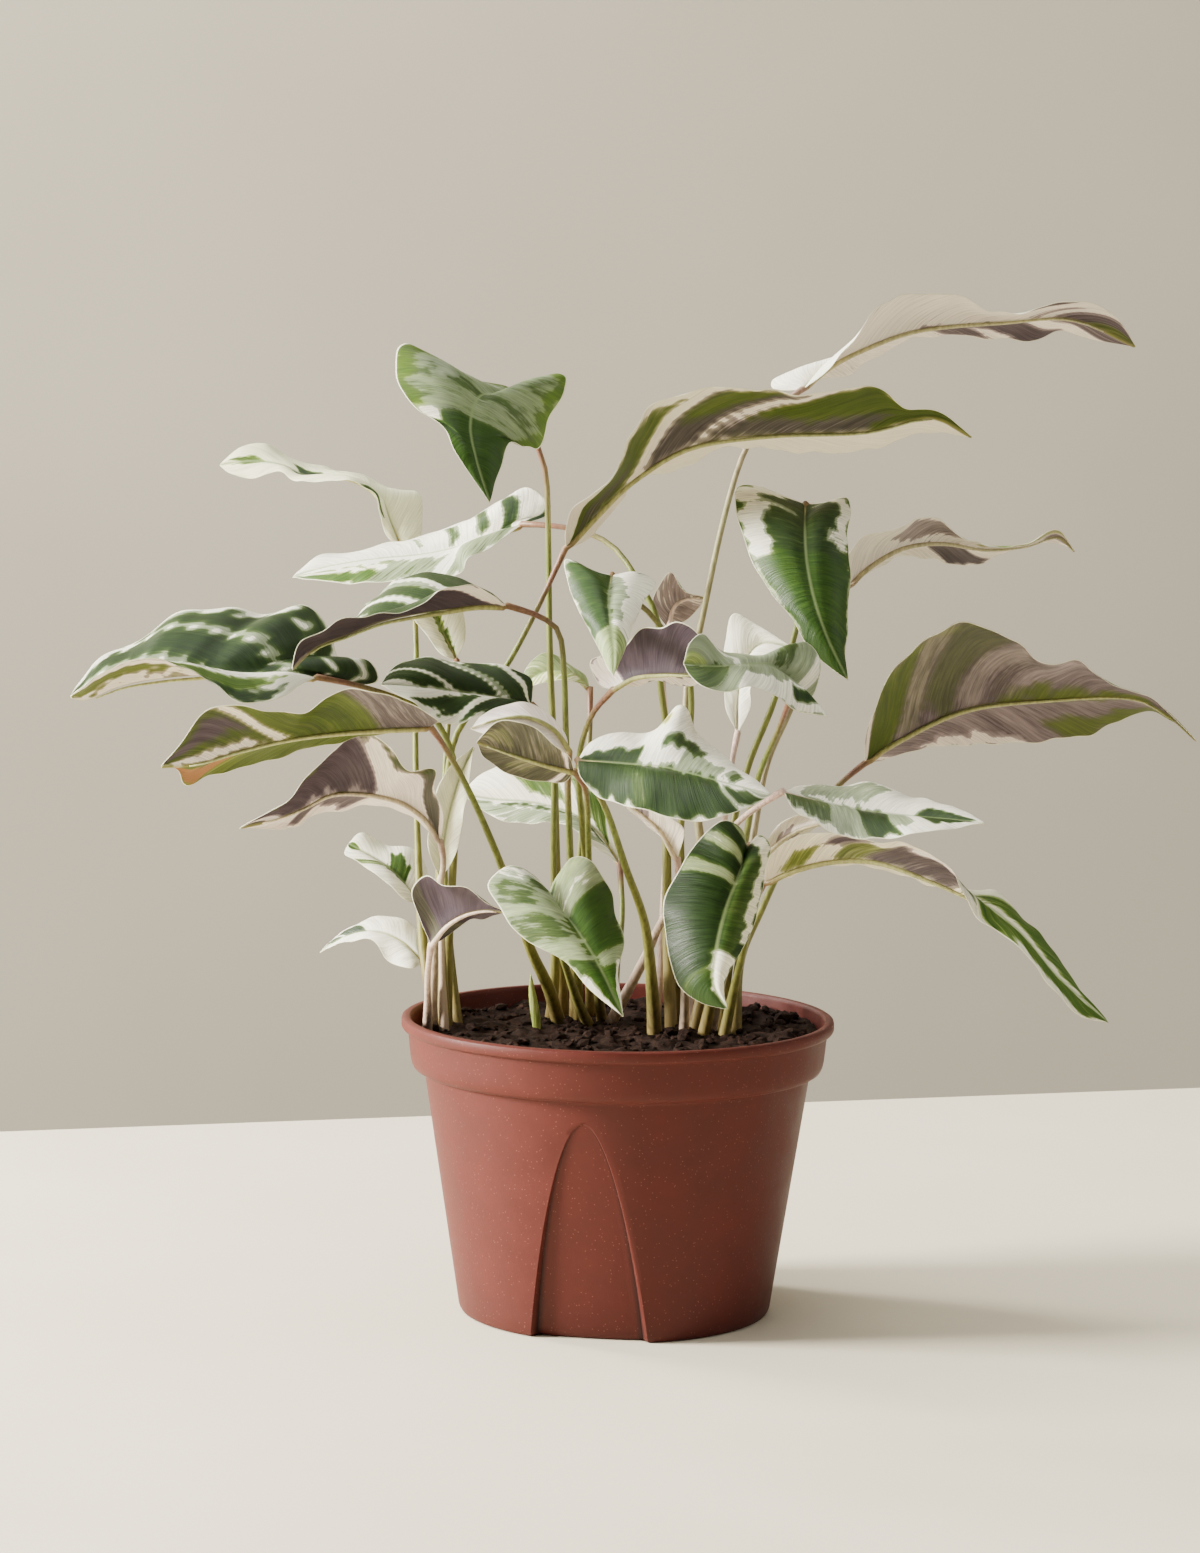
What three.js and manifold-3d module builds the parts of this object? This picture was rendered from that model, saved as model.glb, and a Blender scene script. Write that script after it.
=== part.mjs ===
// A calathea with variegated leaves in a 150 mm plastic nursery pot.
// Millimetres, +Z up. The origin is the middle of the pot's base, on the surface it stands on.
// -Y is the front. Each leaf is a blade on its own stalk, and every stalk rises from the soil.

import * as THREE from 'three';
import * as BufferGeometryUtils from 'three/addons/utils/BufferGeometryUtils.js';
import Module from 'manifold-3d';

const wasm = await Module();
wasm.setup();

// ---------- driving dimensions ----------

const RIM_RADIUS = 75;
const POT_HEIGHT = 103;
const BAND_TOP_RADIUS = 73;
const BAND_LOW_RADIUS = 72;
const BAND_LOW = 91;
const BAND_FOOT_RADIUS = 68;
const BAND_FOOT = 84.6;
const BODY_TOP_RADIUS = 67;
const BASE_RADIUS = 54;
const LIP_HEIGHT = 3.6;
const LIP_ROUND = 1;
const BASE_ROUND = 1;
const WALL = 1.4;
const FLOOR = 2;
const INNER_STEP = 1.2;
const SOIL_TOP = 93;
const GAP = 0.4;
const POT_SEGMENTS = 48;

const ARCH_COUNT = 3;
const ARCH_FIRST_TURN = -100;
const ARCH_HALF_WIDTH = 20.5;
const ARCH_HEIGHT = 77;
const ARCH_DEPTH = 2.6;
const ARCH_STEPS = 8;
const ARCH_SHOULDER = 1.35;
const ARCH_FULLNESS = 0.55;

const DRAIN_COUNT = 8;
const DRAIN_RADIUS = 4;
const DRAIN_RING = 36;
const DRAIN_SIDES = 12;
// How far a cutting body reaches past the surface it cuts.
const OVERCUT = 5;

const BLADE_STEPS = 8;
const BLADE_ACROSS = 2;
const BLADE_THICKNESS = 0.8;
const MARGIN_THINNING = 0.4;
const BLADE_START = 0.03;
const BLADE_END = 0.97;
const JOIN = 0.12;
const STALK_SIDES = 6;
const STALK_STEPS = 8;
const STALK_TOP_RADIUS = 0.95;

// The leaf curves are drawn in a front elevation, as seen from a point this far in front of the pot
// and this high. A point at another depth is spread from that point, so it keeps its place in the
// elevation.
const EYE = new THREE.Vector3(-7, -1400, 333);

// ---------- the leaves ----------

// Each point is [x, depth, height] in the elevation. rib runs from the blade's base to its tip. left
// and right are the margins between those two ends, as seen from the base with the leaf's upper side
// up. foot is where the stalk stands on the soil, and stalk is its way up to the blade's base. push
// moves the whole blade back, or forward where it is negative, and bends the stalk along with it.
const LEAVES = [
  { name: 'top_right', foot: [31, 14], push: 30, stout: 1.9,
    stalk: [[33, 20, 130], [27, 26, 170], [22, 30, 212], [27, 34, 240], [34, 38, 275], [41, 42, 299],
      [50, 44, 312]],
    rib: [[60, 45, 320], [69, 48, 328], [80, 50, 334], [100, 56, 341], [128, 64, 344],
      [152, 70, 345], [174, 76, 336]],
    left: [[50, 50, 320], [51, 53, 324], [62, 56, 323.5], [75, 60, 325], [86, 64, 332], [98, 68, 338],
      [112, 72, 339], [128, 75, 338], [138, 77, 337.5], [148, 78, 341], [160, 79, 338]],
    right: [[68, 42, 326], [78, 38, 338], [84, 38, 347], [92, 42, 352], [105, 46, 353.5], [115, 52, 352],
      [124, 58, 347.5], [134, 60, 347], [146, 62, 350.5], [157, 66, 351], [167, 70, 346]] },
  { name: 'top_centre', foot: [-60, 8], push: 0, stout: 1.9,
    stalk: [[-62, 8, 130], [-62, 9, 160], [-60, 9, 184], [-57, 8, 200], [-49, 7, 212], [-40, 5, 224],
      [-30, 2, 243]],
    rib: [[-20, 0, 265], [-10, -2, 276], [2, -5, 288], [22, -9, 300], [50, -12, 304.5], [82, -8, 306],
      [104, -2, 311], [119, 2, 304.5]],
    left: [[-14, 4, 267], [-6, 8, 275], [5, 12, 289], [18, 14, 292], [34, 14, 300], [50, 14, 299.5],
      [68, 14, 298.5], [86, 12, 300.5], [102, 6, 306]],
    right: [[-20, -8, 271], [-18, -12, 279], [-10, -16, 284], [-3, -20, 292], [2, -26, 305],
      [12, -30, 316],
      [28, -32, 320], [45, -30, 320.5], [60, -26, 318.5], [76, -22, 321], [87, -16, 321],
      [96, -8, 314], [107, -3, 313.5]] },
  { name: 'top_left', foot: [-19, 36], push: -6, stout: 1.9,
    stalk: [[-20, 30, 120], [-22, 24, 155], [-23, 20, 190], [-25, 16, 230], [-26, 14, 270],
      [-27, 13, 290], [-31, 13, 302]],
    rib: [[-34, 12, 310], [-42, 2, 316], [-50, -10, 316], [-53, -20, 307], [-51, -26, 295],
      [-46, -30, 280]],
    left: [[-30, 16, 317], [-25, 14, 324], [-20, 10, 323], [-24, 8, 312], [-29, 4, 300], [-34, -4, 299],
      [-39, -12, 301], [-43, -22, 291]],
    right: [[-40, 12, 320], [-55, 4, 322], [-66, 0, 328], [-74, -2, 334], [-79, -6, 331], [-77, -14, 320],
      [-72, -20, 312], [-62, -24, 306], [-58, -27, 297]] },
  { name: 'ribbon_left', foot: [-64, 18], push: 28, stout: 1.6,
    stalk: [[-68, 26, 130], [-70, 32, 165], [-71, 38, 200], [-71, 44, 232], [-73, 48, 254]],
    rib: [[-76, 50, 264], [-80, 51, 273], [-84, 53, 282], [-92, 55, 287.5], [-101, 58, 289],
      [-110, 60, 289],
      [-118, 62, 292.5], [-128, 64, 293.5], [-139, 66, 292]],
    left: [[-81, 49, 268], [-84, 48, 276], [-86, 48, 283.5], [-95, 48, 287], [-104, 50, 287],
      [-112, 54, 286.5],
      [-118, 58, 290], [-127, 61, 287.5], [-135, 64, 289]],
    right: [[-70, 51, 268], [-69, 54, 275], [-70, 57, 283], [-78, 62, 283.5], [-88, 66, 288.5],
      [-100, 69, 291],
      [-112, 70, 294], [-122, 70, 299], [-131, 68, 298.5]] },
  { name: 'white_left', foot: [19, 14], push: 20, stout: 1.9,
    stalk: [[17, 16, 130], [16, 18, 170], [16, 18, 198], [13, 14, 220], [12, 9, 240], [5, 11, 254],
      [-3, 16, 265],
      [-13, 19, 270.5], [-24, 19, 272.5]],
    rib: [[-35, 22, 273], [-45, 24, 269.5], [-58, 26, 264.5], [-70, 27, 262], [-85, 28, 260.5],
      [-100, 29, 258],
      [-114, 30, 254]],
    left: [[-44, 16, 266], [-53, 12, 261], [-56, 10, 255.5], [-68, 11, 253.5], [-82, 14, 252.5],
      [-96, 18, 252],
      [-107, 24, 253]],
    right: [[-25, 28, 277], [-28, 30, 282], [-34, 33, 286], [-42, 37, 281], [-52, 40, 275],
      [-66, 42, 269.5], [-80, 42, 266],
      [-92, 40, 263], [-104, 36, 261.5]] },
  { name: 'arch_left', foot: [-15, 30], push: -6, stout: 1.8,
    stalk: [[-15, 22, 115], [-17, 12, 155], [-19, 2, 198], [-20, -6, 222], [-22, -9, 236],
      [-29, -12, 241.5]],
    rib: [[-40, -15, 245], [-50, -19, 245], [-62, -22, 243], [-73, -26, 241], [-84, -30, 238.5],
      [-95, -34, 234],
      [-105, -37, 230], [-114, -40, 222]],
    left: [[-44, -26, 248], [-52, -31, 252], [-60, -34, 251], [-68, -35, 246], [-76, -36, 242.5],
      [-86, -39, 241],
      [-97, -42, 240], [-103, -42, 235], [-111, -42, 232]],
    right: [[-46, -5, 250], [-56, 0, 254], [-68, 3, 256.5], [-78, 2, 253], [-86, -4, 247],
      [-92, -14, 240],
      [-100, -24, 235], [-108, -32, 230]] },
  { name: 'far_left', foot: [-60, 14], push: -10, stout: 1.8,
    stalk: [[-59, 15, 130], [-57, 8, 165], [-57, 1, 188], [-64, -6, 205], [-76, -12, 212],
      [-90, -16, 216.5]],
    rib: [[-105, -20, 219.5], [-125, -24, 220.5], [-142, -28, 219.5], [-158, -32, 218],
      [-172, -36, 215.5],
      [-184, -40, 211], [-190, -42, 212]],
    left: [[-112, -30, 216], [-120, -38, 211], [-130, -42, 210.5], [-139, -42, 215], [-147, -42, 221],
      [-157, -45, 224], [-167, -48, 225.5], [-177, -50, 221], [-185, -49, 216]],
    right: [[-94, -12, 217], [-84, -6, 218.5], [-87, -2, 226], [-97, 2, 226], [-101, 6, 237],
      [-110, 8, 244],
      [-122, 8, 241.5], [-136, 4, 243.5], [-152, 0, 241], [-166, -8, 232], [-178, -18, 226.5],
      [-186, -30, 218]] },
  { name: 'banded_left', foot: [-24, 32], push: 0, stout: 1.7,
    stalk: [[-22, 24, 120], [-23, 14, 160], [-23, 4, 190], [-25, -1, 204]],
    rib: [[-31, -5, 211], [-42, -10, 213], [-55, -15, 215], [-68, -19, 216.5], [-83, -23, 217.5]],
    left: [[-36, -16, 209], [-48, -24, 207.5], [-56, -28, 203.5], [-64, -30, 205], [-72, -28, 211],
      [-79, -26, 215]],
    right: [[-31, 0, 220], [-38, 1, 223.5], [-47, 1, 225], [-60, 0, 226], [-70, -3, 227],
      [-79, -12, 223]] },
  { name: 'olive_left', foot: [-20, 26], push: -26, stout: 2.3,
    stalk: [[-24, 16, 112], [-31, 4, 127], [-41, -14, 155], [-52, -32, 180], [-61, -46, 196]],
    rib: [[-66, -52, 203], [-82, -56, 202], [-98, -60, 200.5], [-115, -64, 198], [-132, -67, 193.5],
      [-146, -69, 189],
      [-159, -70, 188]],
    left: [[-63, -58, 205], [-69, -64, 209], [-78, -70, 213], [-90, -72, 215.5], [-101, -71, 213.5],
      [-110, -70, 207],
      [-122, -72, 208], [-134, -74, 210], [-145, -74, 206], [-152, -72, 196]],
    right: [[-78, -50, 201], [-96, -52, 197.5], [-112, -54, 193.5], [-128, -56, 188.5],
      [-140, -60, 185.5],
      [-150, -64, 181.5], [-153, -68, 187]] },
  { name: 'pink_left', foot: [-65, 4], push: -20, stout: 1.7,
    stalk: [[-64, 0, 115], [-63, -10, 140], [-61, -17, 155]],
    rib: [[-62, -20, 163], [-67, -22, 171], [-76, -25, 177], [-88, -28, 179.5], [-100, -31, 179],
      [-110, -34, 174],
      [-120, -36, 170], [-132, -38, 167]],
    left: [[-61, -26, 172], [-64, -30, 181], [-64, -32, 188], [-73, -36, 188], [-80, -38, 196],
      [-90, -40, 201],
      [-99, -41, 195], [-108, -41, 185], [-115, -40, 177], [-121, -38, 173]],
    right: [[-70, -16, 170], [-80, -12, 175], [-92, -12, 174.5], [-104, -16, 172], [-112, -24, 168],
      [-117, -32, 166.5], [-126, -36, 167]] },
  { name: 'pale_left_back', foot: [-54, 30], push: 6, stout: 1.5, joined: true,
    stalk: [[-62, 34, 112], [-68, 38, 130]],
    rib: [[-69, 40, 141], [-75, 42, 149], [-83, 45, 156], [-94, 48, 162]],
    left: [[-74, 36, 143], [-81, 37, 148.5], [-89, 42, 155], [-95, 46, 158]],
    right: [[-66, 46, 150], [-70, 50, 160], [-80, 50, 161.5], [-89, 49, 166]] },
  { name: 'pale_left_low', foot: [-58, 24], push: 0, stout: 1.5, joined: true,
    stalk: [[-63, 28, 107]],
    rib: [[-68, 36, 121], [-75, 40, 128], [-84, 44, 131.5], [-94, 48, 130], [-104, 52, 124]],
    left: [[-72, 32, 118.5], [-80, 36, 121.5], [-86, 40, 128.5], [-95, 45, 127.5]],
    right: [[-68, 44, 129], [-74, 50, 136], [-84, 52, 136.5], [-94, 52, 132.5]] },
  { name: 'plum_small', foot: [-66, -2], push: -16, stout: 1.5, joined: true,
    stalk: [[-66, -12, 105], [-66, -26, 117]],
    rib: [[-65, -36, 127], [-60, -40, 133.5], [-53, -44, 138], [-46, -47, 139.5], [-39, -50, 139]],
    left: [[-58, -32, 131], [-51, -34, 136], [-44, -42, 137]],
    right: [[-69, -38, 136], [-72, -40, 146], [-68, -44, 151], [-61, -50, 148], [-53, -54, 147.5],
      [-46, -53, 142]] },
  { name: 'front_centre', foot: [-9, 22], push: -22, stout: 1.8,
    stalk: [[-14, 8, 108], [-20, -14, 125], [-24, -34, 137]],
    rib: [[-25, -48, 144], [-18, -56, 137], [-12, -62, 129], [-6, -66, 119], [2, -70, 102.5]],
    left: [[-22, -40, 151], [-17, -36, 158], [-9, -38, 156.5], [-3, -44, 147], [-1, -50, 138],
      [2, -58, 129],
      [0, -64, 119], [1, -68, 110]],
    right: [[-29, -46, 151], [-38, -46, 155], [-46, -48, 149], [-42, -52, 141], [-37, -55, 133],
      [-28, -60, 127],
      [-18, -64, 121], [-10, -68, 112]] },
  { name: 'front_right', foot: [29, -4], push: -20, stout: 1.9,
    stalk: [[33, -8, 112], [38, -18, 135], [43, -30, 156], [45, -38, 163]],
    rib: [[44, -46, 162], [41, -56, 152], [37, -62, 141], [34, -66, 128], [33, -68, 115],
      [38, -69, 105.5]],
    left: [[48, -46, 167], [52, -49, 163], [50, -52, 152], [48, -58, 139], [43, -64, 127],
      [37, -68, 115]],
    right: [[42, -48, 169], [35, -47, 172], [28, -46, 165], [21, -50, 156], [15, -54, 142],
      [17, -58, 128],
      [20, -62, 115], [28, -66, 108]] },
  { name: 'centre', foot: [13, 3], push: -16, stout: 2.4,
    stalk: [[12, -4, 110], [9, -16, 135], [2, -32, 155], [-5, -46, 175], [-12, -55, 187]],
    rib: [[-15, -58, 192], [0, -62, 191], [12, -66, 190], [25, -70, 187.5], [39, -74, 184],
      [52, -76, 181]],
    left: [[-10, -50, 199], [0, -44, 202], [10, -40, 202], [20, -36, 211], [27, -40, 202],
      [37, -54, 192.5],
      [46, -66, 186.5]],
    right: [[-14, -66, 186], [-6, -74, 178], [4, -82, 176.5], [16, -86, 172], [27, -87, 171.5],
      [37, -85, 173.5],
      [46, -81, 177]] },
  { name: 'cream_centre', foot: [23, 1], push: -4, stout: 1.5, joined: true,
    stalk: [[23, -8, 115], [21, -20, 138]],
    rib: [[20, -30, 158], [14, -30, 168], [6, -30, 175], [-4, -30, 181]],
    left: [[22, -34, 168], [16, -36, 174], [6, -36, 180]],
    right: [[15, -26, 164], [8, -26, 171], [0, -28, 177]] },
  { name: 'right_flat', foot: [-4, 23], push: -22, stout: 1.8,
    stalk: [[9, 10, 123], [14, 4, 134.5], [24, -12, 152], [33, -24, 163], [44, -36, 174]],
    rib: [[56, -46, 182], [70, -50, 178.5], [85, -54, 175.5], [100, -58, 174], [113, -62, 173],
      [126, -66, 172]],
    left: [[62, -34, 184], [75, -28, 184.5], [90, -28, 185], [101, -36, 180.5], [114, -50, 178]],
    right: [[60, -56, 175.5], [70, -64, 170], [82, -70, 165.5], [96, -74, 167], [110, -73, 169]] },
  { name: 'right_long', foot: [36, -5], push: -16, stout: 1.9,
    stalk: [[40, -10, 112], [44, -18, 130], [47, -24, 143]],
    rib: [[50, -28, 150], [60, -32, 155], [75, -38, 158.5], [90, -44, 158], [106, -50, 152.5],
      [119, -54, 147],
      [129, -57, 142], [140, -60, 133], [152, -63, 119], [171, -66, 102.5]],
    left: [[56, -22, 151.5], [72, -26, 156.5], [90, -32, 155.5], [106, -38, 150.5], [119, -46, 148.5],
      [130, -48, 148.5], [140, -50, 139], [150, -54, 129], [158, -58, 117], [165, -62, 109]],
    right: [[51, -36, 158], [58, -42, 165], [70, -46, 168], [85, -50, 165.5], [100, -58, 164],
      [111, -62, 159],
      [119, -62, 148], [124, -62, 138], [133, -64, 133.5], [142, -68, 125], [152, -70, 113],
      [160, -69, 105]] },
  { name: 'beige_right', foot: [32, 2], push: -8, stout: 1.4, joined: true,
    stalk: [[36, -6, 115], [42, -18, 138], [46, -26, 151]],
    rib: [[48, -30, 157], [53, -34, 163], [62, -38, 169], [74, -42, 172]],
    left: [[54, -30, 160], [62, -33, 166], [70, -38, 170.5]],
    right: [[50, -35, 164], [57, -39, 172], [66, -41, 175]] },
  { name: 'right_big', foot: [41, 3], push: 22, stout: 1.9,
    stalk: [[42, 4, 122], [49, 4, 140], [56, 4, 156], [63, 4, 170], [71, 4, 180], [78, 5, 187]],
    rib: [[84, 5, 192], [94, 8, 199.5], [118, 14, 211], [147, 22, 215], [175, 28, 216],
      [188, 31, 210], [199, 33, 201]],
    left: [[93, 16, 194], [104, 22, 197.5], [122, 30, 199], [140, 36, 200], [161, 40, 203],
      [179, 38, 211],
      [190, 36, 208]],
    right: [[84, 0, 202], [87, -6, 211], [92, -12, 223], [99, -16, 231], [110, -18, 239],
      [123, -16, 240.5],
      [134, -12, 235.5], [144, -4, 228], [157, 2, 228], [169, 14, 220], [182, 24, 216]] },
  { name: 'right_hanging', foot: [26, 9], push: -6, stout: 1.8,
    stalk: [[33, 9, 130], [38, 15, 165], [44, 20, 191], [52, 24, 212], [60, 24, 240], [64, 20, 268],
      [63, 13, 280]],
    rib: [[62, 8, 281], [62, -4, 272], [63, -12, 260], [66, -18, 247], [71, -22, 234], [78, -24, 220.5]],
    left: [[70, 12, 282], [77, 10, 283], [77, 0, 268], [78, -8, 252], [77, -14, 237], [77, -20, 227]],
    right: [[52, 12, 285], [39, 14, 287], [38, 4, 278], [43, -4, 264], [50, -10, 251], [57, -16, 243],
      [65, -20, 230.5], [72, -23, 224.5]] },
  { name: 'ribbon_right', foot: [35, 17], push: 26, stout: 1.6,
    stalk: [[38, 18, 130], [45, 22, 160], [50, 24, 190], [58, 26, 210], [66, 22, 232], [73, 14, 247]],
    rib: [[77, 10, 253], [84, 14, 260], [96, 22, 267], [110, 32, 268.5], [124, 44, 266.5], [138, 56, 268],
      [148, 64, 271], [155, 70, 266]],
    left: [[84, 20, 257.5], [95, 30, 263.5], [106, 40, 262.5], [118, 50, 260.5], [129, 56, 264.5],
      [140, 62, 268.5],
      [150, 70, 268.5]],
    right: [[76, 6, 262], [82, 4, 270], [93, 10, 273], [105, 18, 277.5], [115, 30, 271], [125, 42, 267.5],
      [137, 52, 268], [148, 60, 273.5]] },
  { name: 'folded_centre', foot: [20, 21], push: -14, stout: 1.6,
    stalk: [[22, 18, 130], [21, 20, 170], [24, 22, 212], [20, 16, 228], [9, 4, 243], [0, -5, 250]],
    rib: [[-4, -12, 256], [-5, -24, 248], [-4, -34, 238], [-3, -40, 229], [-3, -44, 221]],
    left: [[4, -12, 257], [11, -12, 254], [7, -22, 246], [3, -31, 237], [0, -39, 228]],
    right: [[-12, -13, 258], [-20, -12, 261], [-19, -18, 252], [-15, -25, 243], [-9, -34, 232],
      [-5, -41, 224]] },
  { name: 'pink_back', foot: [13, 20], push: 26, stout: 1.5, joined: true,
    stalk: [[15, 22, 130], [16, 25, 170], [15.5, 27, 200], [14, 25, 222]],
    rib: [[15, 23, 238], [17, 23, 245], [21, 22, 248], [28, 24, 249]],
    left: [[17, 26, 238.5], [22, 28, 240.5], [26, 26, 245]],
    right: [[10, 18, 246], [12, 17, 253], [16, 17, 257.5], [20, 19, 251]] },
  { name: 'plum_arch', foot: [-9, 37], push: -10, stout: 1.7,
    stalk: [[-10, 28, 120], [-12, 16, 157], [-14.5, 2, 184], [-14, -8, 196], [-10, -18, 208]],
    rib: [[-3, -25, 216.5], [5, -28, 221], [15, -32, 222], [24, -36, 222], [32, -38, 224]],
    left: [[4, -20, 218], [12, -22, 219.5], [20, -26, 218], [28, -32, 220]],
    right: [[-8, -22, 218], [-11, -22, 226], [-5, -25, 229], [1, -30, 232], [6, -34, 238], [13, -37, 238],
      [19, -39, 240], [26, -40, 236]] },
  { name: 'grey_right', foot: [35, 7], push: -14, stout: 1.7,
    stalk: [[38, 6, 120], [42, -4, 155], [47, -14, 185], [54, -26, 203]],
    rib: [[58, -38, 214], [52, -42, 225], [42, -47, 226], [32, -51, 225], [21, -55, 226]],
    left: [[64, -42, 212], [71, -46, 208], [60, -50, 210.5], [52, -54, 215], [44, -58, 218],
      [36, -60, 216.5],
      [28, -60, 217.5], [23, -57, 222]],
    right: [[66, -32, 215], [68, -28, 226], [62, -26, 234], [54, -28, 229], [44, -32, 229],
      [35, -38, 230],
      [28, -46, 236], [23, -52, 233]] },
  { name: 'cream_back', foot: [25, 15], push: 28, stout: 1.5, joined: true,
    stalk: [[28, 13, 130], [35, 10, 165], [38, 7, 190]],
    rib: [[40, 5, 202], [40, 8, 214], [42, 10, 226], [48, 10, 233], [58, 6, 232]],
    left: [[36, 6, 210], [35, 10, 220], [35, 12, 232], [38, 12, 243], [47, 10, 239]],
    right: [[44, 4, 210], [45, 4, 219], [48, 4, 226], [54, 4, 229]] },
  { name: 'olive_centre', foot: [-5, 30], push: -18, stout: 1.6,
    stalk: [[-7, 12, 112], [-10, -8, 140], [-11, -28, 165], [-12, -40, 181]],
    rib: [[-16, -48, 188], [-26, -52, 190.5], [-38, -56, 194], [-50, -58, 198]],
    left: [[-18, -56, 193], [-26, -62, 200], [-34, -64, 205], [-43, -62, 205]],
    right: [[-20, -47, 184], [-28, -46, 184.5], [-39, -48, 187], [-47, -54, 192]] },
  { name: 'pink_centre', foot: [-14, 23], push: -10, stout: 1.6,
    stalk: [[-14, 12, 115], [-16, -6, 145], [-18, -22, 172]],
    rib: [[-18, -36, 194], [-24, -38, 202], [-33, -40, 206], [-43, -42, 205], [-52, -43, 202]],
    left: [[-20, -33, 202], [-28, -31, 210], [-40, -33, 211], [-48, -38, 207]],
    right: [[-24, -41, 197], [-34, -45, 200], [-44, -46, 200]] },
  { name: 'green_back', foot: [0, 35], push: 30, stout: 1.6, joined: true,
    stalk: [[-1, 28, 115], [1, 25, 138]],
    rib: [[0, 22, 156], [-7, 25, 166], [-16, 28, 173], [-30, 33, 177], [-44, 38, 178], [-55, 42, 180]],
    left: [[-10, 20, 163], [-20, 24, 170], [-31, 28, 169.5], [-42, 32, 171], [-50, 38, 176]],
    right: [[-2, 24, 166], [-6, 27, 178], [-14, 32, 186], [-26, 38, 188], [-38, 42, 190],
      [-48, 44, 187]] },
  { name: 'small_arch', foot: [-14, 42], push: 26, stout: 1.4, joined: true,
    stalk: [[-16, 42, 130], [-13, 38, 170], [-11, 34, 200]],
    rib: [[-11, 30, 217], [-17, 30, 222], [-24, 30, 223], [-30, 30, 221], [-35, 30, 216]],
    left: [[-17, 26, 219], [-24, 26, 219.5], [-30, 27, 217.5]],
    right: [[-13, 34, 222], [-20, 36, 226], [-27, 36, 229], [-33, 33, 224]] },
  { name: 'cream_left', foot: [-56, 19], push: 28, stout: 1.5, joined: true,
    stalk: [[-59, 22, 130], [-61, 24, 165], [-60, 25, 200]],
    rib: [[-57, 25, 226], [-61, 28, 234], [-66, 30, 243], [-72, 32, 250], [-80, 34, 256]],
    left: [[-62, 24, 228], [-69, 26, 236], [-74, 27, 243], [-79, 29, 249]],
    right: [[-54, 28, 234], [-55, 31, 243], [-60, 35, 252], [-70, 37, 258]] },
  { name: 'rolled', foot: [-60, 2], push: 2, stout: 1.4, joined: true,
    stalk: [[-61, 1, 115]],
    rib: [[-62, 0, 150], [-60, -4, 168], [-56, -6, 184], [-51, -7, 196]],
    left: [[-66, -6, 160], [-65, -8, 174], [-60, -9, 188]],
    right: [[-57, -5, 158], [-54, -8, 172], [-52, -9, 186]] },
];

const COLOURS = {
  pot: 0xb4614f,
  soil: 0x2b211c,
  stalk: 0x7d8a3f,
  blade: 0x7f9470,
  shoot: 0xa3b04d,
};

// ---------- helpers ----------

function material(colour, roughness) {
  return new THREE.MeshStandardMaterial({ color: colour, roughness, metalness: 0 });
}

function named(name, geometry, colour, roughness) {
  const mesh = new THREE.Mesh(geometry, material(colour, roughness));
  mesh.name = name;
  return mesh;
}

function placed([x, depth, height], push) {
  const point = new THREE.Vector3(x, 0, height);
  return point.sub(EYE).multiplyScalar(1 - (depth + push) / EYE.y).add(EYE);
}

function curveThrough(points) {
  return new THREE.CatmullRomCurve3(points, false, 'catmullrom', 0.5);
}

// Joins rings of the same number of points into one closed body. A ring runs along one side and back
// along the other, so each end is closed by pairing its first point with its last, and so on.
function skin(rings) {
  const count = rings[0].length;
  const positions = rings.flat().flatMap((point) => point.toArray());
  const faces = [];
  for (let ring = 0; ring < rings.length - 1; ring += 1) {
    for (let i = 0; i < count; i += 1) {
      const j = (i + 1) % count;
      const a = ring * count;
      const b = a + count;
      faces.push(a + i, a + j, b + j, a + i, b + j, b + i);
    }
  }
  const last = (rings.length - 1) * count;
  for (let i = 0; i < count / 2 - 1; i += 1) {
    const j = count - 1 - i;
    faces.push(i, j, j - 1, i, j - 1, i + 1);
    faces.push(last + i, last + j - 1, last + j, last + i, last + i + 1, last + j - 1);
  }
  const geometry = new THREE.BufferGeometry();
  geometry.setAttribute('position', new THREE.Float32BufferAttribute(positions, 3));
  geometry.setIndex(faces);
  return geometry;
}

function toSolid(geometry) {
  const bare = geometry.clone();
  bare.deleteAttribute('normal');
  bare.deleteAttribute('uv');
  const merged = BufferGeometryUtils.mergeVertices(bare, 1e-4);
  const mesh = new wasm.Mesh({
    numProp: 3,
    vertProperties: new Float32Array(merged.attributes.position.array),
    triVerts: new Uint32Array(merged.index.array),
  });
  return new wasm.Manifold(mesh);
}

function toGeometry(solid) {
  const mesh = solid.getMesh();
  const geometry = new THREE.BufferGeometry();
  geometry.setAttribute('position', new THREE.BufferAttribute(new Float32Array(mesh.vertProperties), 3));
  geometry.setIndex(new THREE.BufferAttribute(new Uint32Array(mesh.triVerts), 1));
  return geometry;
}

// A profile of [radius, height] points, turned about the Z axis.
function turned(profile) {
  const points = profile.map(([radius, height]) => new THREE.Vector2(radius, height));
  return new THREE.LatheGeometry(points, POT_SEGMENTS).rotateX(Math.PI / 2);
}

// ---------- pot ----------

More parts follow.
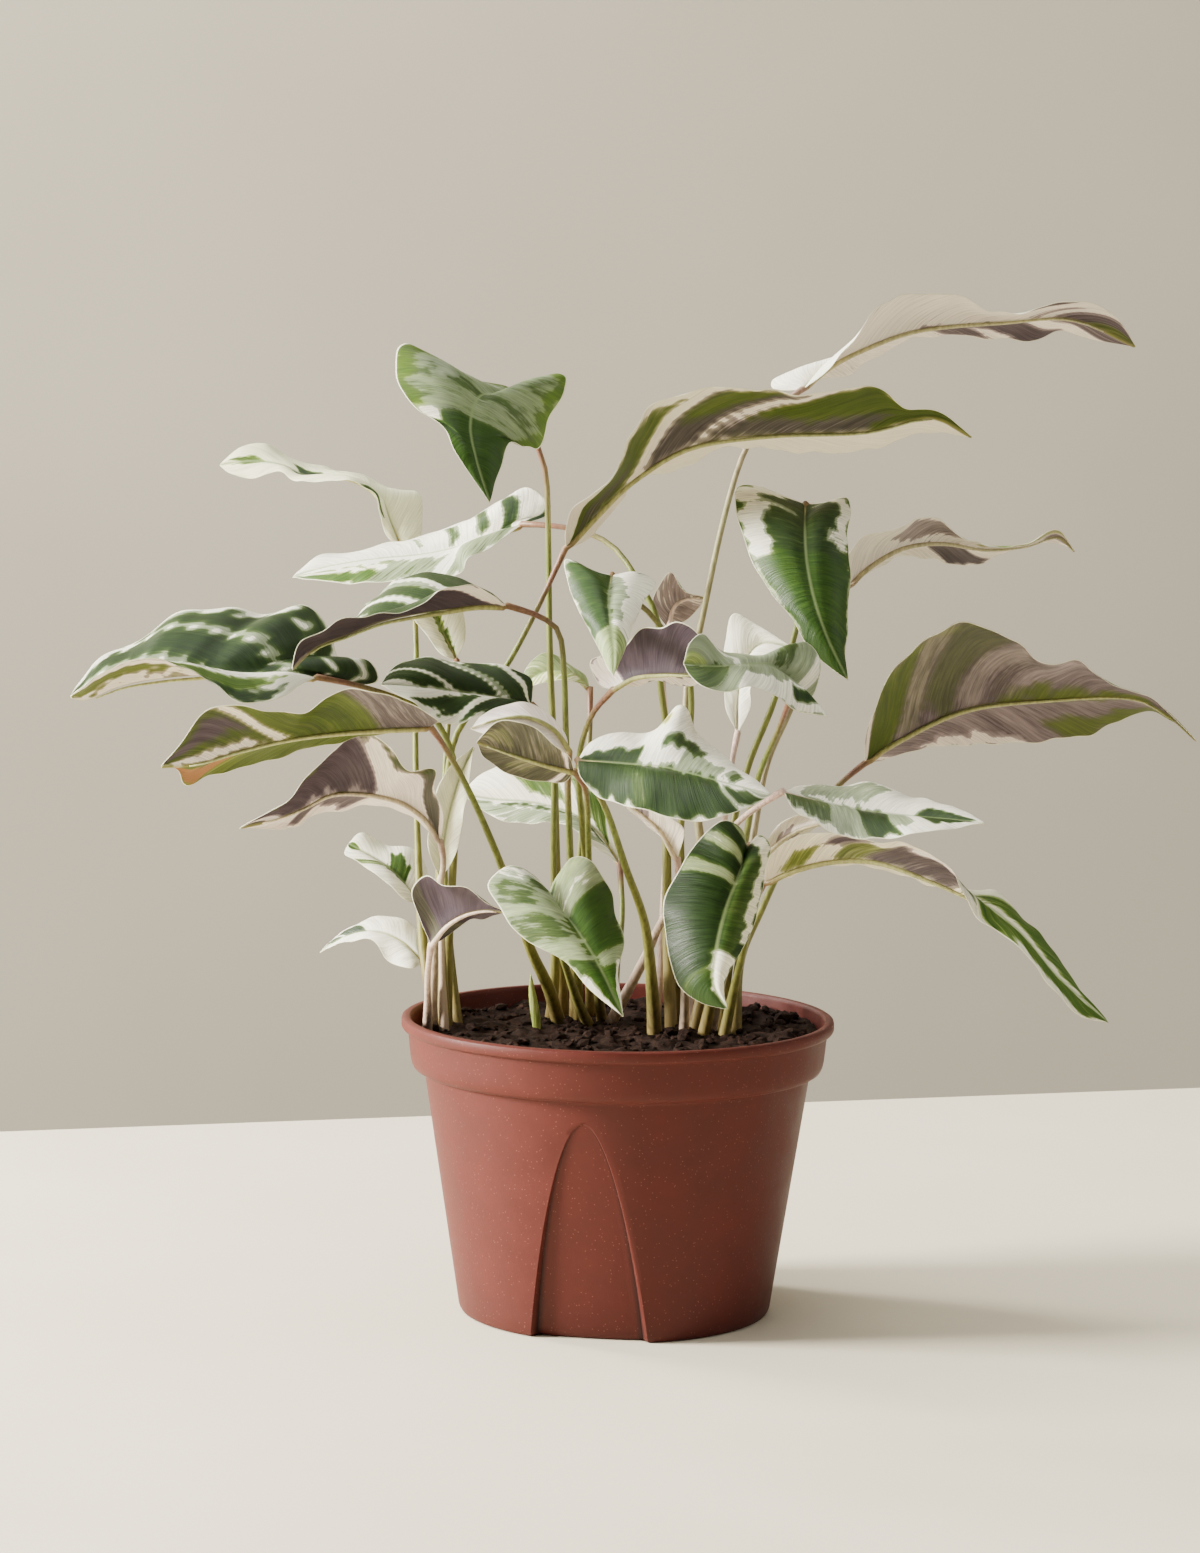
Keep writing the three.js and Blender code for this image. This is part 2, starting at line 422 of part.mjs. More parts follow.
// An arch-shaped block that stands across the wall, wide at the base and round at the top.
function archBlock(turn, grow) {
  const outline = new THREE.Shape();
  const reach = BASE_RADIUS / 2;
  const sides = [];
  for (let i = 0; i <= ARCH_STEPS; i += 1) {
    const height = (i / ARCH_STEPS) ** 0.7;
    const half = ARCH_HALF_WIDTH * (1 - height ** ARCH_SHOULDER) ** ARCH_FULLNESS + grow;
    sides.push([half, height * ARCH_HEIGHT]);
  }
  outline.moveTo(-sides[0][0], -OVERCUT);
  outline.lineTo(sides[0][0], -OVERCUT);
  sides.forEach(([half, height]) => outline.lineTo(half, height));
  outline.lineTo(0, ARCH_HEIGHT + grow + 0.5);
  sides.slice().reverse().forEach(([half, height]) => outline.lineTo(-half, height));
  const block = new THREE.ExtrudeGeometry(outline, { depth: RIM_RADIUS - reach, bevelEnabled: false });
  block.rotateX(Math.PI / 2).translate(0, -reach, 0);
  return block.rotateZ(THREE.MathUtils.degToRad(turn + 90));
}

// The floor of the recesses: a steeper cone than the wall, which meets the wall at the arch's top.
function recessCone(inset) {
  const slope = (BODY_TOP_RADIUS - BASE_RADIUS) / BAND_FOOT;
  const top = BASE_RADIUS + slope * ARCH_HEIGHT - inset;
  const foot = BASE_RADIUS - ARCH_DEPTH - inset;
  const above = ARCH_HEIGHT + 2 * OVERCUT;
  return turned([
    [0, -2 * OVERCUT], [foot, -2 * OVERCUT], [foot, 0], [top, ARCH_HEIGHT], [top + WALL, above],
      [0, above],
  ]);
}

function recesses(inset, grow) {
  let blocks = toSolid(archBlock(ARCH_FIRST_TURN, grow));
  for (let i = 1; i < ARCH_COUNT; i += 1) {
    blocks = blocks.add(toSolid(archBlock(ARCH_FIRST_TURN + (360 / ARCH_COUNT) * i, grow)));
  }
  return blocks.subtract(toSolid(recessCone(inset)));
}

function makePot() {
  const outside = [
    [0, 0], [BASE_RADIUS - BASE_ROUND, 0], [BASE_RADIUS, BASE_ROUND], [BODY_TOP_RADIUS, BAND_FOOT - GAP],
    [BAND_FOOT_RADIUS, BAND_FOOT], [BAND_LOW_RADIUS - 1, BAND_LOW - 3], [BAND_LOW_RADIUS, BAND_LOW],
    [BAND_TOP_RADIUS, POT_HEIGHT - LIP_HEIGHT - WALL], [RIM_RADIUS, POT_HEIGHT - LIP_HEIGHT],
    [RIM_RADIUS, POT_HEIGHT - LIP_ROUND], [RIM_RADIUS - LIP_ROUND, POT_HEIGHT], [0, POT_HEIGHT],
  ];
  const inside = [
    [0, FLOOR], [BASE_RADIUS - WALL, FLOOR], [BODY_TOP_RADIUS - WALL, BAND_FOOT],
    [BAND_FOOT_RADIUS - WALL, BAND_FOOT + INNER_STEP], [BAND_LOW_RADIUS - WALL, BAND_LOW + GAP],
    [BAND_TOP_RADIUS - WALL, POT_HEIGHT - LIP_HEIGHT], [BAND_TOP_RADIUS - WALL, POT_HEIGHT + OVERCUT],
    [0, POT_HEIGHT + OVERCUT],
  ];
  const shell = toSolid(turned(outside)).subtract(recesses(0, 0));
  const hollow = toSolid(turned(inside)).subtract(recesses(WALL, WALL));
  let pot = shell.subtract(hollow);
  for (let i = 0; i < DRAIN_COUNT; i += 1) {
    const angle = (2 * Math.PI * (i + 0.5)) / DRAIN_COUNT;
    const drill = new THREE.CylinderGeometry(DRAIN_RADIUS, DRAIN_RADIUS, 2 * OVERCUT, DRAIN_SIDES);
    drill.rotateX(Math.PI / 2).translate(DRAIN_RING * Math.cos(angle), DRAIN_RING * Math.sin(angle), 0);
    pot = pot.subtract(toSolid(drill));
  }
  return toGeometry(pot);
}

// ---------- soil and shoot ----------

function makeSoil() {
  const edge = BAND_LOW_RADIUS - WALL - GAP;
  const foot = BASE_RADIUS - ARCH_DEPTH - WALL - GAP;
  const bed = [
    [0, FLOOR + GAP], [foot, FLOOR + GAP], [BODY_TOP_RADIUS - 2 * WALL, ARCH_HEIGHT],
    [BODY_TOP_RADIUS - WALL - GAP, BAND_FOOT + GAP],
    [BAND_FOOT_RADIUS - WALL - GAP, BAND_FOOT + INNER_STEP + GAP], [edge, BAND_LOW + 2 * GAP],
    [edge, SOIL_TOP], [0, SOIL_TOP],
  ];
  return turned(bed);
}

function ringAround(centre, along, radius, sides) {
  const side = new THREE.Vector3(1, 0, 0).addScaledVector(along, -along.x).normalize();
  const other = along.clone().cross(side);
  return Array.from({ length: sides }, (_, i) => {
    const angle = (2 * Math.PI * i) / sides;
    return centre.clone().addScaledVector(side, radius * Math.cos(angle))
      .addScaledVector(other, radius * Math.sin(angle));
  });
}

function makeShoot() {
  const path = curveThrough([[-28, 8, 93.5], [-28.5, 8, 100], [-30, 8, 110], [-30.5, 8, 116]]
    .map(([x, y, z]) => new THREE.Vector3(x, y, z)));
  const radii = [1.1, 1.5, 1.6, 1.3, 0.9, 0.3];
  return skin(radii.map((radius, i) => {
    const share = i / (radii.length - 1);
    return ringAround(path.getPointAt(share), path.getTangentAt(share), radius, STALK_SIDES);
  }));
}

// ---------- leaves ----------

function makeStalk(leaf) {
  const foot = new THREE.Vector3(leaf.foot[0], leaf.foot[1], SOIL_TOP + GAP);
  const rib = curveThrough(leaf.rib.map((point) => placed(point, leaf.push)));
  const inBlade = leaf.joined ? [rib.getPointAt(JOIN)] : [];
  const bends = leaf.stalk.map((point, i) => {
    const share = (i + 1) / (leaf.stalk.length + 1);
    return placed(point, leaf.push * share ** 1.5);
  });
  const path = curveThrough([foot, ...bends, rib.getPointAt(0), ...inBlade]);
  const end = leaf.joined ? 1 : 1 - (2 * GAP) / path.getLength();
  const rings = [];
  for (let i = 0; i <= STALK_STEPS; i += 1) {
    const share = (end * i) / STALK_STEPS;
    const radius = THREE.MathUtils.lerp(leaf.stout, STALK_TOP_RADIUS, share ** 0.5);
    const along = i === 0 ? new THREE.Vector3(0, 0, 1) : path.getTangentAt(share);
    rings.push(ringAround(path.getPointAt(share), along, radius, STALK_SIDES));
  }
  return skin(rings);
}

// The blade's middle surface: at is 0 at the base and 1 at the tip, and across runs from -1 on the
// left margin through 0 on the midrib to 1 on the right margin.
function bladeSurface(leaf) {
  const ends = [leaf.rib[0], leaf.rib[leaf.rib.length - 1]];
  const curve = (points) => curveThrough(points.map((point) => placed(point, leaf.push)));
  const rib = curve(leaf.rib);
  const left = curve([ends[0], ...leaf.left, ends[1]]);
  const right = curve([ends[0], ...leaf.right, ends[1]]);
  return (at, across) => {
    const margin = across < 0 ? left : right;
    return rib.getPointAt(at).lerp(margin.getPointAt(at), Math.abs(across));
  };
}

function makeBlade(leaf) {
  const surface = bladeSurface(leaf);
  const reach = 0.01;
  const rings = [];
  for (let i = 0; i <= BLADE_STEPS; i += 1) {
    const at = THREE.MathUtils.lerp(BLADE_START, BLADE_END, i / BLADE_STEPS);
    const along = surface(at + reach, 0).sub(surface(at - reach, 0));
    const upper = [];
    const lower = [];
    for (let j = -BLADE_ACROSS; j <= BLADE_ACROSS; j += 1) {
      const across = j / BLADE_ACROSS;
      const step = 1 / BLADE_ACROSS;
      const leftward = surface(at, Math.max(-1, across - step)).sub(surface(at, Math.min(1, across + step)));
      const normal = along.clone().cross(leftward).normalize();
      const half = (BLADE_THICKNESS / 2) * (1 - MARGIN_THINNING * Math.abs(across));
      const middle = surface(at, across);
      upper.push(middle.clone().addScaledVector(normal, half));
      lower.push(middle.clone().addScaledVector(normal, -half));
    }
    rings.push([...upper, ...lower.reverse()]);
  }
  return skin(rings);
}

// ---------- assembly ----------

const plant = new THREE.Group();
plant.add(named('pot', makePot(), COLOURS.pot, 0.55));
plant.add(named('soil', makeSoil(), COLOURS.soil, 0.95));
plant.add(named('new_shoot', makeShoot(), COLOURS.shoot, 0.5));
LEAVES.forEach((leaf) => {
  if (leaf.joined) {
    const whole = toSolid(makeBlade(leaf)).add(toSolid(makeStalk(leaf)));
    plant.add(named(`leaf_${leaf.name}`, toGeometry(whole), COLOURS.blade, 0.5));
    return;
  }
  plant.add(named(`leaf_${leaf.name}`, makeBlade(leaf), COLOURS.blade, 0.5));
  plant.add(named(`stalk_${leaf.name}`, makeStalk(leaf), COLOURS.stalk, 0.5));
});

export default plant;
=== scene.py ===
# %% [markdown]
# # A potted calathea
# A calathea is a house plant with long-stalked leaves, painted green and white above and purple-grey
# underneath. This one stands in a terracotta-coloured plastic nursery pot. The fixed frame that is
# loaded first holds a plain solid for each piece, and every piece here replaces one of them with its
# finished shape. All lengths in the plans are in millimetres, and meshes are in metres.

import math

import bmesh
import bpy
import numpy as np
from mathutils import Matrix, Vector, noise


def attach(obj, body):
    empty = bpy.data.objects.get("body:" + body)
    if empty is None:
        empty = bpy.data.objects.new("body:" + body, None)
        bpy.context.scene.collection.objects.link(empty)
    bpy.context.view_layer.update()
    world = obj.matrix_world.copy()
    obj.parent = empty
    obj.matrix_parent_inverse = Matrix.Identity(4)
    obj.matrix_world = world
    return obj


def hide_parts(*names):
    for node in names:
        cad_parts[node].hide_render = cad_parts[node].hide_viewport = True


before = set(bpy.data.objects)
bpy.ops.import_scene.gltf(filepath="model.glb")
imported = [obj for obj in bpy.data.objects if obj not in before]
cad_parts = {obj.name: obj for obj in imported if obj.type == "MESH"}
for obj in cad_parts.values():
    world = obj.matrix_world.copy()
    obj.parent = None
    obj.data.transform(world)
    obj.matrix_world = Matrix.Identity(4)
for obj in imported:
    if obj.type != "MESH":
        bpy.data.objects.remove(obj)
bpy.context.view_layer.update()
MM = 0.001
print("solids in the frame:", len(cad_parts))

# %% [markdown]
# ## The table, the wall and the light
# A plant this pale reads best against a warm grey wall, on a cream table top. Light comes from a
# window at the left, so the left of the pot is bright and its right is dark. A wide lamp overhead
# keeps the table pale, a weak one lifts the right side, and one washes the wall. Area lamps are
# chosen because their size sets how soft the shadows are.

# %% A plain finish for the table and the wall


def wire(tree, *pairs):
    """Joins sockets: each pair is (output, input)."""
    for out, into in pairs:
        tree.links.new(out, into)


def finish_named(name, roughness):
    """A new material with its Principled shader, and the tree it stands in."""
    made = bpy.data.materials.new(name)
    made.use_nodes = True
    shader = made.node_tree.nodes["Principled BSDF"]
    shader.inputs["Roughness"].default_value = roughness
    return made, made.node_tree, shader


def node(tree, kind, **values):
    """A new node. Values named after its sockets are set on them, and others on the node."""
    made = tree.nodes.new("ShaderNode" + kind)
    for key, value in values.items():
        label = key.replace("_", " ")
        if label in made.inputs:
            made.inputs[label].default_value = value
        else:
            setattr(made, key, value)
    return made


def ramp(tree, *stops):
    """A colour ramp with a stop at each (place, colour)."""
    made = tree.nodes.new("ShaderNodeValToRGB")
    band = made.color_ramp
    for place, colour in stops[1:-1]:
        band.elements.new(place)
    for element, (place, colour) in zip(band.elements, stops):
        element.position = place
        element.color = (*colour, 1)
    return made


def mixed(tree, factor, one, other, kind="MIX"):
    """The colour between one and other. Each is an output socket, or a plain value."""
    made = tree.nodes.new("ShaderNodeMix")
    made.data_type = "RGBA"
    made.blend_type = kind
    for socket, value in zip((made.inputs[0], made.inputs[6], made.inputs[7]), (factor, one, other)):
        if isinstance(value, bpy.types.NodeSocket):
            tree.links.new(value, socket)
        else:
            socket.default_value = (*value, 1) if isinstance(value, tuple) else value
    return made.outputs[2]


def plain_finish(name, dark, light, scale, roughness):
    """A matt paint that drifts a little between two colours."""
    made, tree, shader = finish_named(name, roughness)
    place = node(tree, "TexCoord")
    cloud = node(tree, "TexNoise", Scale=scale, Detail=4.0)
    shade = ramp(tree, (0.35, dark), (0.65, light))
    wire(tree, (place.outputs["Object"], cloud.inputs["Vector"]), (cloud.outputs[0], shade.inputs[0]),
         (shade.outputs[0], shader.inputs["Base Color"]))
    return made


TABLE = plain_finish("cream table", (0.68, 0.62, 0.475), (0.71, 0.65, 0.505), 9, 0.75)
WALL = plain_finish("warm grey wall", (0.455, 0.405, 0.315), (0.48, 0.43, 0.335), 2, 0.9)
print("finishes:", [m.name for m in bpy.data.materials])

# %% The table top and the wall behind it


def sheet_of(name, corners, finish):
    """One flat face through four corners, in metres."""
    bm = bmesh.new()
    bm.faces.new([bm.verts.new(corner) for corner in corners])
    mesh = bpy.data.meshes.new(name)
    bm.to_mesh(mesh)
    bm.free()
    made = bpy.data.objects.new(name, mesh)
    mesh.materials.append(finish)
    bpy.context.scene.collection.objects.link(made)


BACK_LEFT = Vector((-3.0, -0.42, 0))
BACK_RIGHT = Vector((3.0, 1.165, 0))
sheet_of("table_top", [(-3, -3, 0), (3, -3, 0), BACK_RIGHT, BACK_LEFT], TABLE)
sheet_of("wall", [(-6, 3.6, -2.5), (6, 3.6, -2.5), (6, 3.6, 4.5), (-6, 3.6, 4.5)], WALL)
print("the table is", round((BACK_RIGHT - BACK_LEFT).length, 1), "m wide")

# %% The camera and the lamps
EYE = Vector((-0.0072, -1.400, 0.333))
lens = bpy.data.cameras.new("camera")
lens.lens = 94.6
camera = bpy.data.objects.new("camera", lens)
bpy.context.scene.collection.objects.link(camera)
tilt = Matrix.Rotation(math.radians(90 - 5.98), 4, "X")
roll = Matrix.Rotation(math.radians(0.709), 4, "Z")
camera.matrix_world = Matrix.Translation(EYE) @ tilt @ roll
bpy.context.scene.camera = camera


def lamp(name, place, aim, size, power, colour):
    """A square area lamp at a place, turned to face another."""
    light = bpy.data.lights.new(name, "AREA")
    light.size = size
    light.energy = power
    light.color = colour
    made = bpy.data.objects.new(name, light)
    bpy.context.scene.collection.objects.link(made)
    made.location = place
    made.rotation_euler = (Vector(aim) - Vector(place)).to_track_quat("-Z", "Y").to_euler()


MIDDLE = (0, 0, 0.18)
lamp("window", (-1.5, -0.2, 0.62), MIDDLE, 0.45, 140, (1.0, 0.95, 0.88))
lamp("overhead", (-0.3, -0.2, 1.9), (0, 0, 0), 1.6, 40, (1.0, 0.97, 0.91))
lamp("side_fill", (1.8, -0.2, 0.9), MIDDLE, 0.8, 7, (1.0, 0.97, 0.93))
lamp("wall_wash", (-2.6, 1.5, 2.2), (-0.9, 3.6, 0.5), 1.2, 340, (1.0, 0.97, 0.90))
world = bpy.data.worlds.new("room")
bpy.context.scene.world = world
world.use_nodes = True
world.node_tree.nodes["Background"].inputs[0].default_value = (1.0, 0.97, 0.93, 1)
world.node_tree.nodes["Background"].inputs[1].default_value = 0.18

# %% [markdown]
# ## The pot
# The pot is injection-moulded plastic with pale specks in a terracotta-coloured base. Its wall is one
# profile turned about the middle: a tapering body, a collar with a soft lower edge, and a rolled lip.
# Three arch-shaped recesses stand in the wall. They could be cut with boolean blocks, but a boolean
# leaves ragged edges on a round wall. So the wall is spun first, its columns are then gathered to the
# arches' outlines, and the ground inside them is pressed in.

# %% Tools for finished pieces


def piece(name, bm, slot, finishes, *nodes, smooth=True):
    """Turns a bmesh into a piece that rides with the plant and stands for its solids."""
    mesh = bpy.data.meshes.new(name)
    for face in bm.faces:
        face.smooth = smooth
    bm.to_mesh(mesh)
    bm.free()
    for finish in finishes:
        mesh.materials.append(finish)
    made = bpy.data.objects.new(name, mesh)
    bpy.context.scene.collection.objects.link(made)
    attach(made, "root")
    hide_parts(*nodes)
    return made


def spun(profile, steps):
    """A bmesh turned about the Z axis from (radius, height) points in millimetres."""
    bm = bmesh.new()
    points = [bm.verts.new((radius * MM, 0, height * MM)) for radius, height in profile]
    edges = [bm.edges.new(pair) for pair in zip(points, points[1:])]
    bmesh.ops.spin(bm, geom=points + edges, cent=(0, 0, 0), axis=(0, 0, 1), angle=2 * math.pi,
                   steps=steps, use_merge=True)
    bmesh.ops.remove_doubles(bm, verts=bm.verts, dist=1e-6)
    return bm


# %% The pot's profile
POT_HEIGHT = 103
LIP_RADIUS = 75
BAND_FOOT = 84.6
BODY_TOP = 67
BASE = 54
BODY_SLOPE = (BODY_TOP - BASE) / BAND_FOOT
WALL_THICKNESS = 1.4
ROUND_STEPS = 240

wall_rows = sorted({*np.linspace(2, 70, 18).round(1), *np.linspace(71, 79, 17).round(1), 81, 83})
body = [(BASE + BODY_SLOPE * z, z) for z in wall_rows]
outside = [(0, 0), (20, 0), (40, 0), (BASE - 1.6, 0), (BASE - 0.5, 0.4), (BASE, 1.2), *body,
           (66.9, 84.0), (67.1, 84.3), (67.9, 84.5), (69.4, 84.8), (70.6, 85.5), (71.3, 86.8),
           (71.7, 88.6), (72.1, 92), (72.6, 97.2), (72.8, 98.4), (73.7, 98.7), (74.6, 99.1),
           (LIP_RADIUS, 99.8), (LIP_RADIUS, 101.8), (74.8, 102.5), (74.2, 102.9), (73.3, POT_HEIGHT)]
inside = [(72.3, 102.9), (71.8, 102.4), (71.6, 101.5), (71.4, 98), (70.7, 92), (69.8, 89.2),
          (68.4, 87.2), (66.6, 86), *[(r - WALL_THICKNESS, z) for r, z in reversed(body[:-1:2])],
          (BASE - WALL_THICKNESS, 2), (40, 2), (20, 2), (0, 2)]
pot_mesh = spun(outside + inside, ROUND_STEPS)
print("the pot has", len(pot_mesh.verts), "points")

# %% Press the arches into the wall
ARCH_HEIGHT = 77
ARCH_HALF_WIDTH = 20.5
ARCH_SHOULDER = 1.1
ARCH_FULLNESS = 0.52
ARCH_DEPTH = 3.8
ARCH_TOP_DEPTH = 0.25
ARCH_TURNS = [math.radians(turn) for turn in (-100, 20, 140)]
HALF_SECTOR = math.pi / len(ARCH_TURNS)
STEP_WIDTH = 0.6
FADE_ABOVE = 6
FLATTENING = 0.5
WALL_FROM = 45


def arch_half_width(height, inset):
    """Half the arch's width at a height, for an outline drawn inset inside the arch."""
    rise = min(max(height / (ARCH_HEIGHT - inset), 0), 1)
    return (ARCH_HALF_WIDTH - inset) * (1 - rise ** ARCH_SHOULDER) ** ARCH_FULLNESS


def gathered(share, edge, foot, height):
    """The angle of a column once it is gathered to the arch. share is how far it is into its sector."""
    columns = float(np.interp(share, [0, 0.18, 0.26, 1], [0, foot, edge, HALF_SECTOR]))
    above = min(max((height - ARCH_HEIGHT) / FADE_ABOVE, 0), 1)
    return columns + (share * HALF_SECTOR - columns) * above


def press_arch(point):
    """Moves a point of the wall to the nearest column of its arch, and inwards if it is inside one."""
    radius, height = math.hypot(point.x, point.y) / MM, point.z / MM
    angle = math.atan2(point.y, point.x)
    turn = min(ARCH_TURNS, key=lambda t: abs(math.remainder(angle - t, 2 * math.pi)))
    away = math.remainder(angle - turn, 2 * math.pi)
    edge = arch_half_width(height, 0) / radius
    foot = arch_half_width(height, STEP_WIDTH) / radius
    new = gathered(abs(away) / HALF_SECTOR, edge, foot, height)
    pressed = np.clip((edge - new) / max(edge - foot, 1e-6), 0, 1) if new < edge else 0
    slope = ARCH_TOP_DEPTH + (ARCH_DEPTH - ARCH_TOP_DEPTH) * (1 - min(height / ARCH_HEIGHT, 1))
    flatter = FLATTENING * radius * max(0, 1 - math.cos(edge) / math.cos(new))
    left = radius - (slope + flatter) * pressed * pressed * (3 - 2 * pressed)
    turned = turn + math.copysign(new, away)
    point.x = left * MM * math.cos(turned)
    point.y = left * MM * math.sin(turned)


for vert in pot_mesh.verts:
    if vert.co.z < (BAND_FOOT - 0.5) * MM and math.hypot(vert.co.x, vert.co.y) > WALL_FROM * MM:
        press_arch(vert.co)
bmesh.ops.remove_doubles(pot_mesh, verts=pot_mesh.verts, dist=1e-6)
bmesh.ops.recalc_face_normals(pot_mesh, faces=pot_mesh.faces)
print("arches at", [round(math.degrees(turn)) for turn in ARCH_TURNS], "degrees")

# %% [markdown]
# Speckled plastic is a base colour with small pale flecks and a faint mottled sheen. The flecks could
# be a picture, but a voronoi pattern cut at a small distance gives round flecks of any size, and it
# stays sharp close up. A height mask darkens the foot a little. The corner of each arch's step is
# darkened too, with painted shade where the recess is shadowed and with some grime that gathers there.
# That mask is worked out from the arch's own formula, because a drawn one would slip from the edge.

# %% The speckle, shared by the plastic and the soil


def group(name, inputs, outputs):
    """An empty node group. Each input is (name, kind, value), and each output is (name, kind)."""
    tree = bpy.data.node_groups.new(name, "ShaderNodeTree")
    for label, kind, value in inputs:
        socket = tree.interface.new_socket(label, in_out="INPUT", socket_type="NodeSocket" + kind)
        if value is not None:
            socket.default_value = value
    for label, kind in outputs:
        tree.interface.new_socket(label, in_out="OUTPUT", socket_type="NodeSocket" + kind)
    return tree, tree.nodes.new("NodeGroupInput").outputs, tree.nodes.new("NodeGroupOutput").inputs


def placed_group(tree, shared, **values):
    """Places a shared group in a material, with its own values."""
    made = tree.nodes.new("ShaderNodeGroup")
    made.node_tree = shared
    for key, value in values.items():
        made.inputs[key.replace("_", " ")].default_value = value
    return made


def maths(tree, operation, one, other=0.0, clamp=False):
    """One Math node's result. Each of one and other is an output socket or a number."""
    made = node(tree, "Math", operation=operation, use_clamp=clamp)
    for socket, value in zip(made.inputs, (one, other)):
        if isinstance(value, bpy.types.NodeSocket):
            tree.links.new(value, socket)
        else:
            socket.default_value = value
    return made.outputs[0]


SPECKLE, into, out = group("speckle", [("Place", "Vector", None), ("Scale", "Float", 900.0),
                                       ("Size", "Float", 0.16)],
                           [("Flecks", "Float"), ("Mottle", "Float")])
cells = node(SPECKLE, "TexVoronoi")
cloud = node(SPECKLE, "TexNoise", Detail=6.0, Roughness=0.65)
wire(SPECKLE, (into["Place"], cells.inputs["Vector"]), (into["Scale"], cells.inputs["Scale"]),
     (into["Place"], cloud.inputs["Vector"]))
cloud.inputs["Scale"].default_value = 60
near = maths(SPECKLE, "SUBTRACT", into["Size"], cells.outputs["Distance"])
wire(SPECKLE, (maths(SPECKLE, "MULTIPLY", near, 14.0, clamp=True), out["Flecks"]),
     (cloud.outputs[0], out["Mottle"]))
print("speckle makes", [s.name for s in SPECKLE.interface.items_tree if s.in_out == "OUTPUT"])

# %% Painted shade and grime in the corner of each arch's step
# The reach of the painted shade, with some grime, from the foot of each arch's step.
SHADE_AND_GRIME_REACH = 2.4


def corner_shade_and_grime(tree, parts):
    """How dark the foot of an arch's step is painted, for shade in the recess and some grime. parts
    gives x, y and z in metres.
    """
    angle = maths(tree, "ARCTAN2", parts.outputs[1], parts.outputs[0])
    away = maths(tree, "PINGPONG", maths(tree, "SUBTRACT", angle, ARCH_TURNS[0]), HALF_SECTOR)
    z = maths(tree, "DIVIDE", parts.outputs[2], MM)
    rise = maths(tree, "DIVIDE", z, ARCH_HEIGHT, clamp=True)
    left = maths(tree, "SUBTRACT", 1.0, maths(tree, "POWER", rise, ARCH_SHOULDER))
    edge = maths(tree, "MULTIPLY", maths(tree, "POWER", left, ARCH_FULLNESS), ARCH_HALF_WIDTH)
    radius = maths(tree, "ADD", BASE, maths(tree, "MULTIPLY", z, BODY_SLOPE))
    gap = maths(tree, "SUBTRACT", edge, maths(tree, "MULTIPLY", away, radius))
    reach = maths(tree, "SUBTRACT", SHADE_AND_GRIME_REACH, maths(tree, "MULTIPLY", rise, 1.9))
    faded = maths(tree, "DIVIDE", maths(tree, "SUBTRACT", gap, 0.5), reach)
    inside = maths(tree, "MULTIPLY", maths(tree, "SUBTRACT", gap, 0.25), 4.0, clamp=True)
    near_step = maths(tree, "MULTIPLY", maths(tree, "SUBTRACT", 1.0, faded, clamp=True), inside)
    lower = maths(tree, "SUBTRACT", 0.95, maths(tree, "MULTIPLY", rise, 0.5))
    return maths(tree, "MULTIPLY", near_step, lower)


print("painted shade and grime reach", SHADE_AND_GRIME_REACH, "mm from a step at the foot of the wall")

# %% The terracotta-coloured plastic
PLASTIC, tree, shader = finish_named("speckled terracotta plastic", 0.5)
place = node(tree, "TexCoord").outputs["Object"]
flecks = placed_group(tree, SPECKLE, Scale=640.0, Size=0.16)
fine = node(tree, "TexNoise", Scale=1500.0, Detail=3.0)
parts = node(tree, "SeparateXYZ")
wire(tree, (place, flecks.inputs["Place"]), (place, fine.inputs["Vector"]), (place, parts.inputs[0]))
mottled = ramp(tree, (0.3, (0.068, 0.0114, 0.0078)), (0.7, (0.087, 0.0150, 0.0103)))
wire(tree, (flecks.outputs["Mottle"], mottled.inputs[0]))
# The wall is painted darker towards its foot.
foot = maths(tree, "SUBTRACT", 1.0, maths(tree, "MULTIPLY", parts.outputs[2], 60.0, clamp=True))
darker_foot = mixed(tree, maths(tree, "MULTIPLY", foot, 0.35), mottled.outputs[0], (0.045, 0.010, 0.007))
flecked = mixed(tree, maths(tree, "MULTIPLY", flecks.outputs["Flecks"], 0.4), darker_foot,
                (0.30, 0.105, 0.075))
# Painted shade in the corner of each arch's step, with some grime: the wall there goes near black.
shaded_and_soiled = mixed(tree, corner_shade_and_grime(tree, parts), flecked, (0.012, 0.004, 0.003))
rough = ramp(tree, (0.3, (0.50,) * 3), (0.7, (0.62,) * 3))
bump = node(tree, "Bump", Strength=0.25, Distance=0.0002)
wire(tree, (shaded_and_soiled, shader.inputs["Base Color"]), (flecks.outputs["Mottle"], rough.inputs[0]),
     (rough.outputs[0], shader.inputs["Roughness"]), (fine.outputs[0], bump.inputs["Height"]),
     (bump.outputs[0], shader.inputs["Normal"]))
shader.inputs["Specular IOR Level"].default_value = 0.22
print(PLASTIC.name, "is ready")

